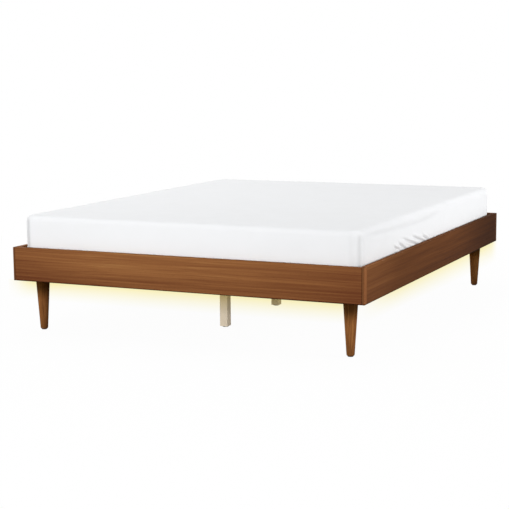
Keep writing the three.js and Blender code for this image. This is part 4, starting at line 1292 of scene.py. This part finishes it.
def fit_prisms(name, places, seed, sides, across, high, rim):
    """Nuts or pins at their places, with their sizes in millimetres."""
    grow(name, prism_tree, seed_points(places), "zinc", "zinc_steel", Seed=seed, Sides=sides,
         Radius=across / 2 * mm, Straight=(high - rim) * mm, Rim=rim * mm)


nut_seat_x = beam_low.x - 16 * mm
bolt_end_x = nut_seat_x - 6.6 * mm
inlet_floor_x = 0.5997
inlet_low, inlet_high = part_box("power_inlet")
inlet_floor = (inlet_floor_x, (inlet_low.y + inlet_high.y) / 2, (inlet_low.z + inlet_high.z) / 2)
to_left = (-1, 0, 0)
fit_prisms("post_nuts", [((nut_seat_x, y, post_bolt_z), to_left) for y in post_y], 3, 6, 15.0, 6.5, 0.8)
fit_prisms("post_bolt_ends", [((bolt_end_x, y, post_bolt_z), to_left) for y in post_y], 4, 24, 8.0, 3.0, 0.7)
fit_prisms("inlet_pin", [(inlet_floor, to_left)], 5, 24, 2.0, 8.6, 0.4)

# %% [markdown]
# Clips of the light strip. The sleeve isn't glued: a small moulded clip straddles it every 300 mm and is
# screwed to the board above it. The clip is four plates, a face, two bridges and a tab with the screw,
# so its tree joins four boxes by a Boolean. X is the way out of the board, and Z stays upright.

# %% Tree of clips, and the clips along the boards
clip_wall = 0.9 * mm
clip_tree, given = new_tree("strip_clips", Reach=6.4 * mm, Half=7.1 * mm, Width=9 * mm, Wall=clip_wall,
                            Tab=9 * mm)
tree = clip_tree
reach, half_high, width, wall, tab = (given[name] for name in ("Reach", "Half", "Width", "Wall", "Tab"))
half_wall, half_reach = (add(tree, "Math MULTIPLY", size, 0.5) for size in (wall, reach))
high = add(tree, "Math MULTIPLY", half_high, 2.0)
face_out = add(tree, "Math SUBTRACT", reach, half_wall)
bridge_up = add(tree, "Math SUBTRACT", half_high, half_wall)
bridge_down = add(tree, "Math MULTIPLY", bridge_up, -1.0)
tab_high = add(tree, "Math ADD", tab, wall)
tab_foot = add(tree, "Math SUBTRACT", half_high, wall)
tab_up = add(tree, "Math ADD", tab_foot, add(tree, "Math MULTIPLY", tab_high, 0.5))
plates = (  # the size, and how far out and up the middle lies
    ((wall, width, high), face_out, 0.0),
    ((reach, width, wall), half_reach, bridge_up),
    ((reach, width, wall), half_reach, bridge_down),
    ((wall, width, tab_high), half_wall, tab_up),
)
boxes = [block(tree, add(tree, "CombineXYZ", *size), add(tree, "CombineXYZ", out, 0.0, up))
         for size, out, up in plates]
clip = add(tree, "GeometryNodeMeshBoolean UNION", boxes, solver="EXACT")
facing = add(tree, "GeometryNodeInputNamedAttribute", "facing", data_type="FLOAT_VECTOR")
upright = add(tree, "FunctionNodeAxesToRotation", facing, (0, 0, 1), primary_axis="X", secondary_axis="Z")
placed = add(tree, "GeometryNodeInstanceOnPoints", given["Geometry"], {"Instance": clip, "Rotation": upright})
end_tree(tree, placed, given["Finish"])

clip_pitch = 0.3
side_clip_places, foot_clip_places = (-2.5, -1.5, -0.5, 0.5, 1.5, 2.5), (-2, -1, 1, 2)
clip_screw_lift = 11.5 * mm
ear_face_y, ear_screw_z, ear_screw_x = 1.0069, 0.258, (0.583, 0.687)
strip_middle_z = (strip_low.z + strip_high.z) / 2
clip_places = [((sx * inner_x, clip_pitch * i, strip_middle_z), (-sx, 0, 0))
               for sx in both_sides for i in side_clip_places]
clip_places += [((clip_pitch * i, -inner_y, strip_middle_z), (0, 1, 0)) for i in foot_clip_places]
grow("strip_clips", clip_tree, seed_points(clip_places), "grey_case", "grey_plastic")
clip_screws = [((x + fx * clip_wall, y + fy * clip_wall, z + clip_screw_lift), (fx, fy, fz))
               for (x, y, z), (fx, fy, fz) in clip_places]
ear_screws = [((x, ear_face_y, ear_screw_z), (0, -1, 0)) for x in ear_screw_x]
fit_heads("clip_screw_heads", clip_screws, 6, 4.5, 1.2, 2, 2.6, 0.6, 0.6)
fit_heads("controller_screw_heads", ear_screws, 7, 8.0, 2.4, 2, 4.4, 1.0, 1.2)

# %% [markdown]
# Staples. Each tape is shot to each slat with two wide staples, whose crowns lie pressed into the weave.
# A crown is a short flat wire, so the tree sweeps a flattened circle along a straight line, and the seeds
# are two points on each crossing of tape and slat.

# %% Tree of staples
staple_offset = 12 * mm
staple_tree, given = new_tree("staple_crowns", Start=(-0.006, 0.0, 0.0), End=(0.006, 0.0, 0.0),
                              WireRadius=0.0006, Flat=(1.0, 1.0, 0.4))
tree = staple_tree
wire_line = add(tree, "GeometryNodeCurvePrimitiveLine", given["Start"], given["End"])
wire_section = add(tree, "GeometryNodeCurvePrimitiveCircle", 10, given["WireRadius"])
crown = add(tree, "GeometryNodeCurveToMesh", wire_line, wire_section, {"Fill Caps": True})
flattened = add(tree, "GeometryNodeTransform", crown, {"Scale": given["Flat"]})
placed = add(tree, "GeometryNodeInstanceOnPoints", given["Geometry"], {"Instance": flattened})
end_tree(tree, placed, given["Finish"])

strap_low, strap_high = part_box("slat_strap_right")
strap_x = (strap_low.x + strap_high.x) / 2
staple_places = [((sx * strap_x, y + off, strap_high.z), (0, 0, 1))
                 for sx in both_sides for y in slat_middles for off in (-staple_offset, staple_offset)]
grow("tape_staples", staple_tree, seed_points(staple_places), "zinc", "zinc_steel")

# %% [markdown]
# Hem of the sheet. The cut edge is folded over an elastic tape and sewn, and the elastic gathers it into
# small waves. The tree takes the plain outline of the hem as a closed loop, spaces points along it, moves
# them in and out along the loop's normal in a sine wave, and sweeps a flat oval round it.

# %% Tree of the gathered hem, and the hem round the sheet
hem_tree, given = new_tree("gathered_hem", Spacing=0.004, GatherPitch=0.022, GatherDepth=0.0015,
                           Section=(0.007, 0.0013, 1.0))
tree = hem_tree
loop = add(tree, "GeometryNodeMeshToCurve", given["Geometry"])
spaced = add(tree, "GeometryNodeResampleCurve", loop, {"Length": given["Spacing"]}, mode="LENGTH")
along_hem = add(tree, "GeometryNodeSplineParameter").outputs["Length"]
whole_turns = add(tree, "Math MULTIPLY", along_hem, 2 * math.pi)
wave_turn = add(tree, "Math DIVIDE", whole_turns, given["GatherPitch"])
gathers = add(tree, "Math SINE", wave_turn)
sideways = add(tree, "Math MULTIPLY", gathers, given["GatherDepth"])
loop_normal = add(tree, "GeometryNodeInputNormal")
shift = add(tree, "VectorMath SCALE", loop_normal, sideways)
level = add(tree, "GeometryNodeSetCurveNormal", spaced, mode="Z_UP")
waved = add(tree, "GeometryNodeSetPosition", level, {"Offset": shift})
oval = add(tree, "GeometryNodeCurvePrimitiveCircle", 10, 0.5)
flat_oval = add(tree, "GeometryNodeTransform", oval, {"Scale": given["Section"]})
end_tree(tree, add(tree, "GeometryNodeCurveToMesh", waved, flat_oval), given["Finish"])

hem_lift = 0.75 * mm
hem_drawn_in = profile[-1][0] - (plan_radius - least_radius)
hem_outline = []
for corner, (sx, sy) in enumerate(((1, 1), (-1, 1), (-1, -1), (1, -1))):
    for i in range(corner_steps):
        angle = math.radians(90 * (corner + i / (corner_steps - 1)))
        hem_outline.append((sx * (straight_x - hem_drawn_in) + least_radius * math.cos(angle),
                            sy * (straight_y - hem_drawn_in) + least_radius * math.sin(angle),
                            sheet_low.z + hem_lift))
hem_mesh = bpy.data.meshes.new("hem_outline")
hem_count = len(hem_outline)
hem_mesh.from_pydata(hem_outline, [(i, (i + 1) % hem_count) for i in range(hem_count)], [])
hem = grow("hem_casing", hem_tree, hem_mesh, "cotton_hem", "white_cotton", "mattress")
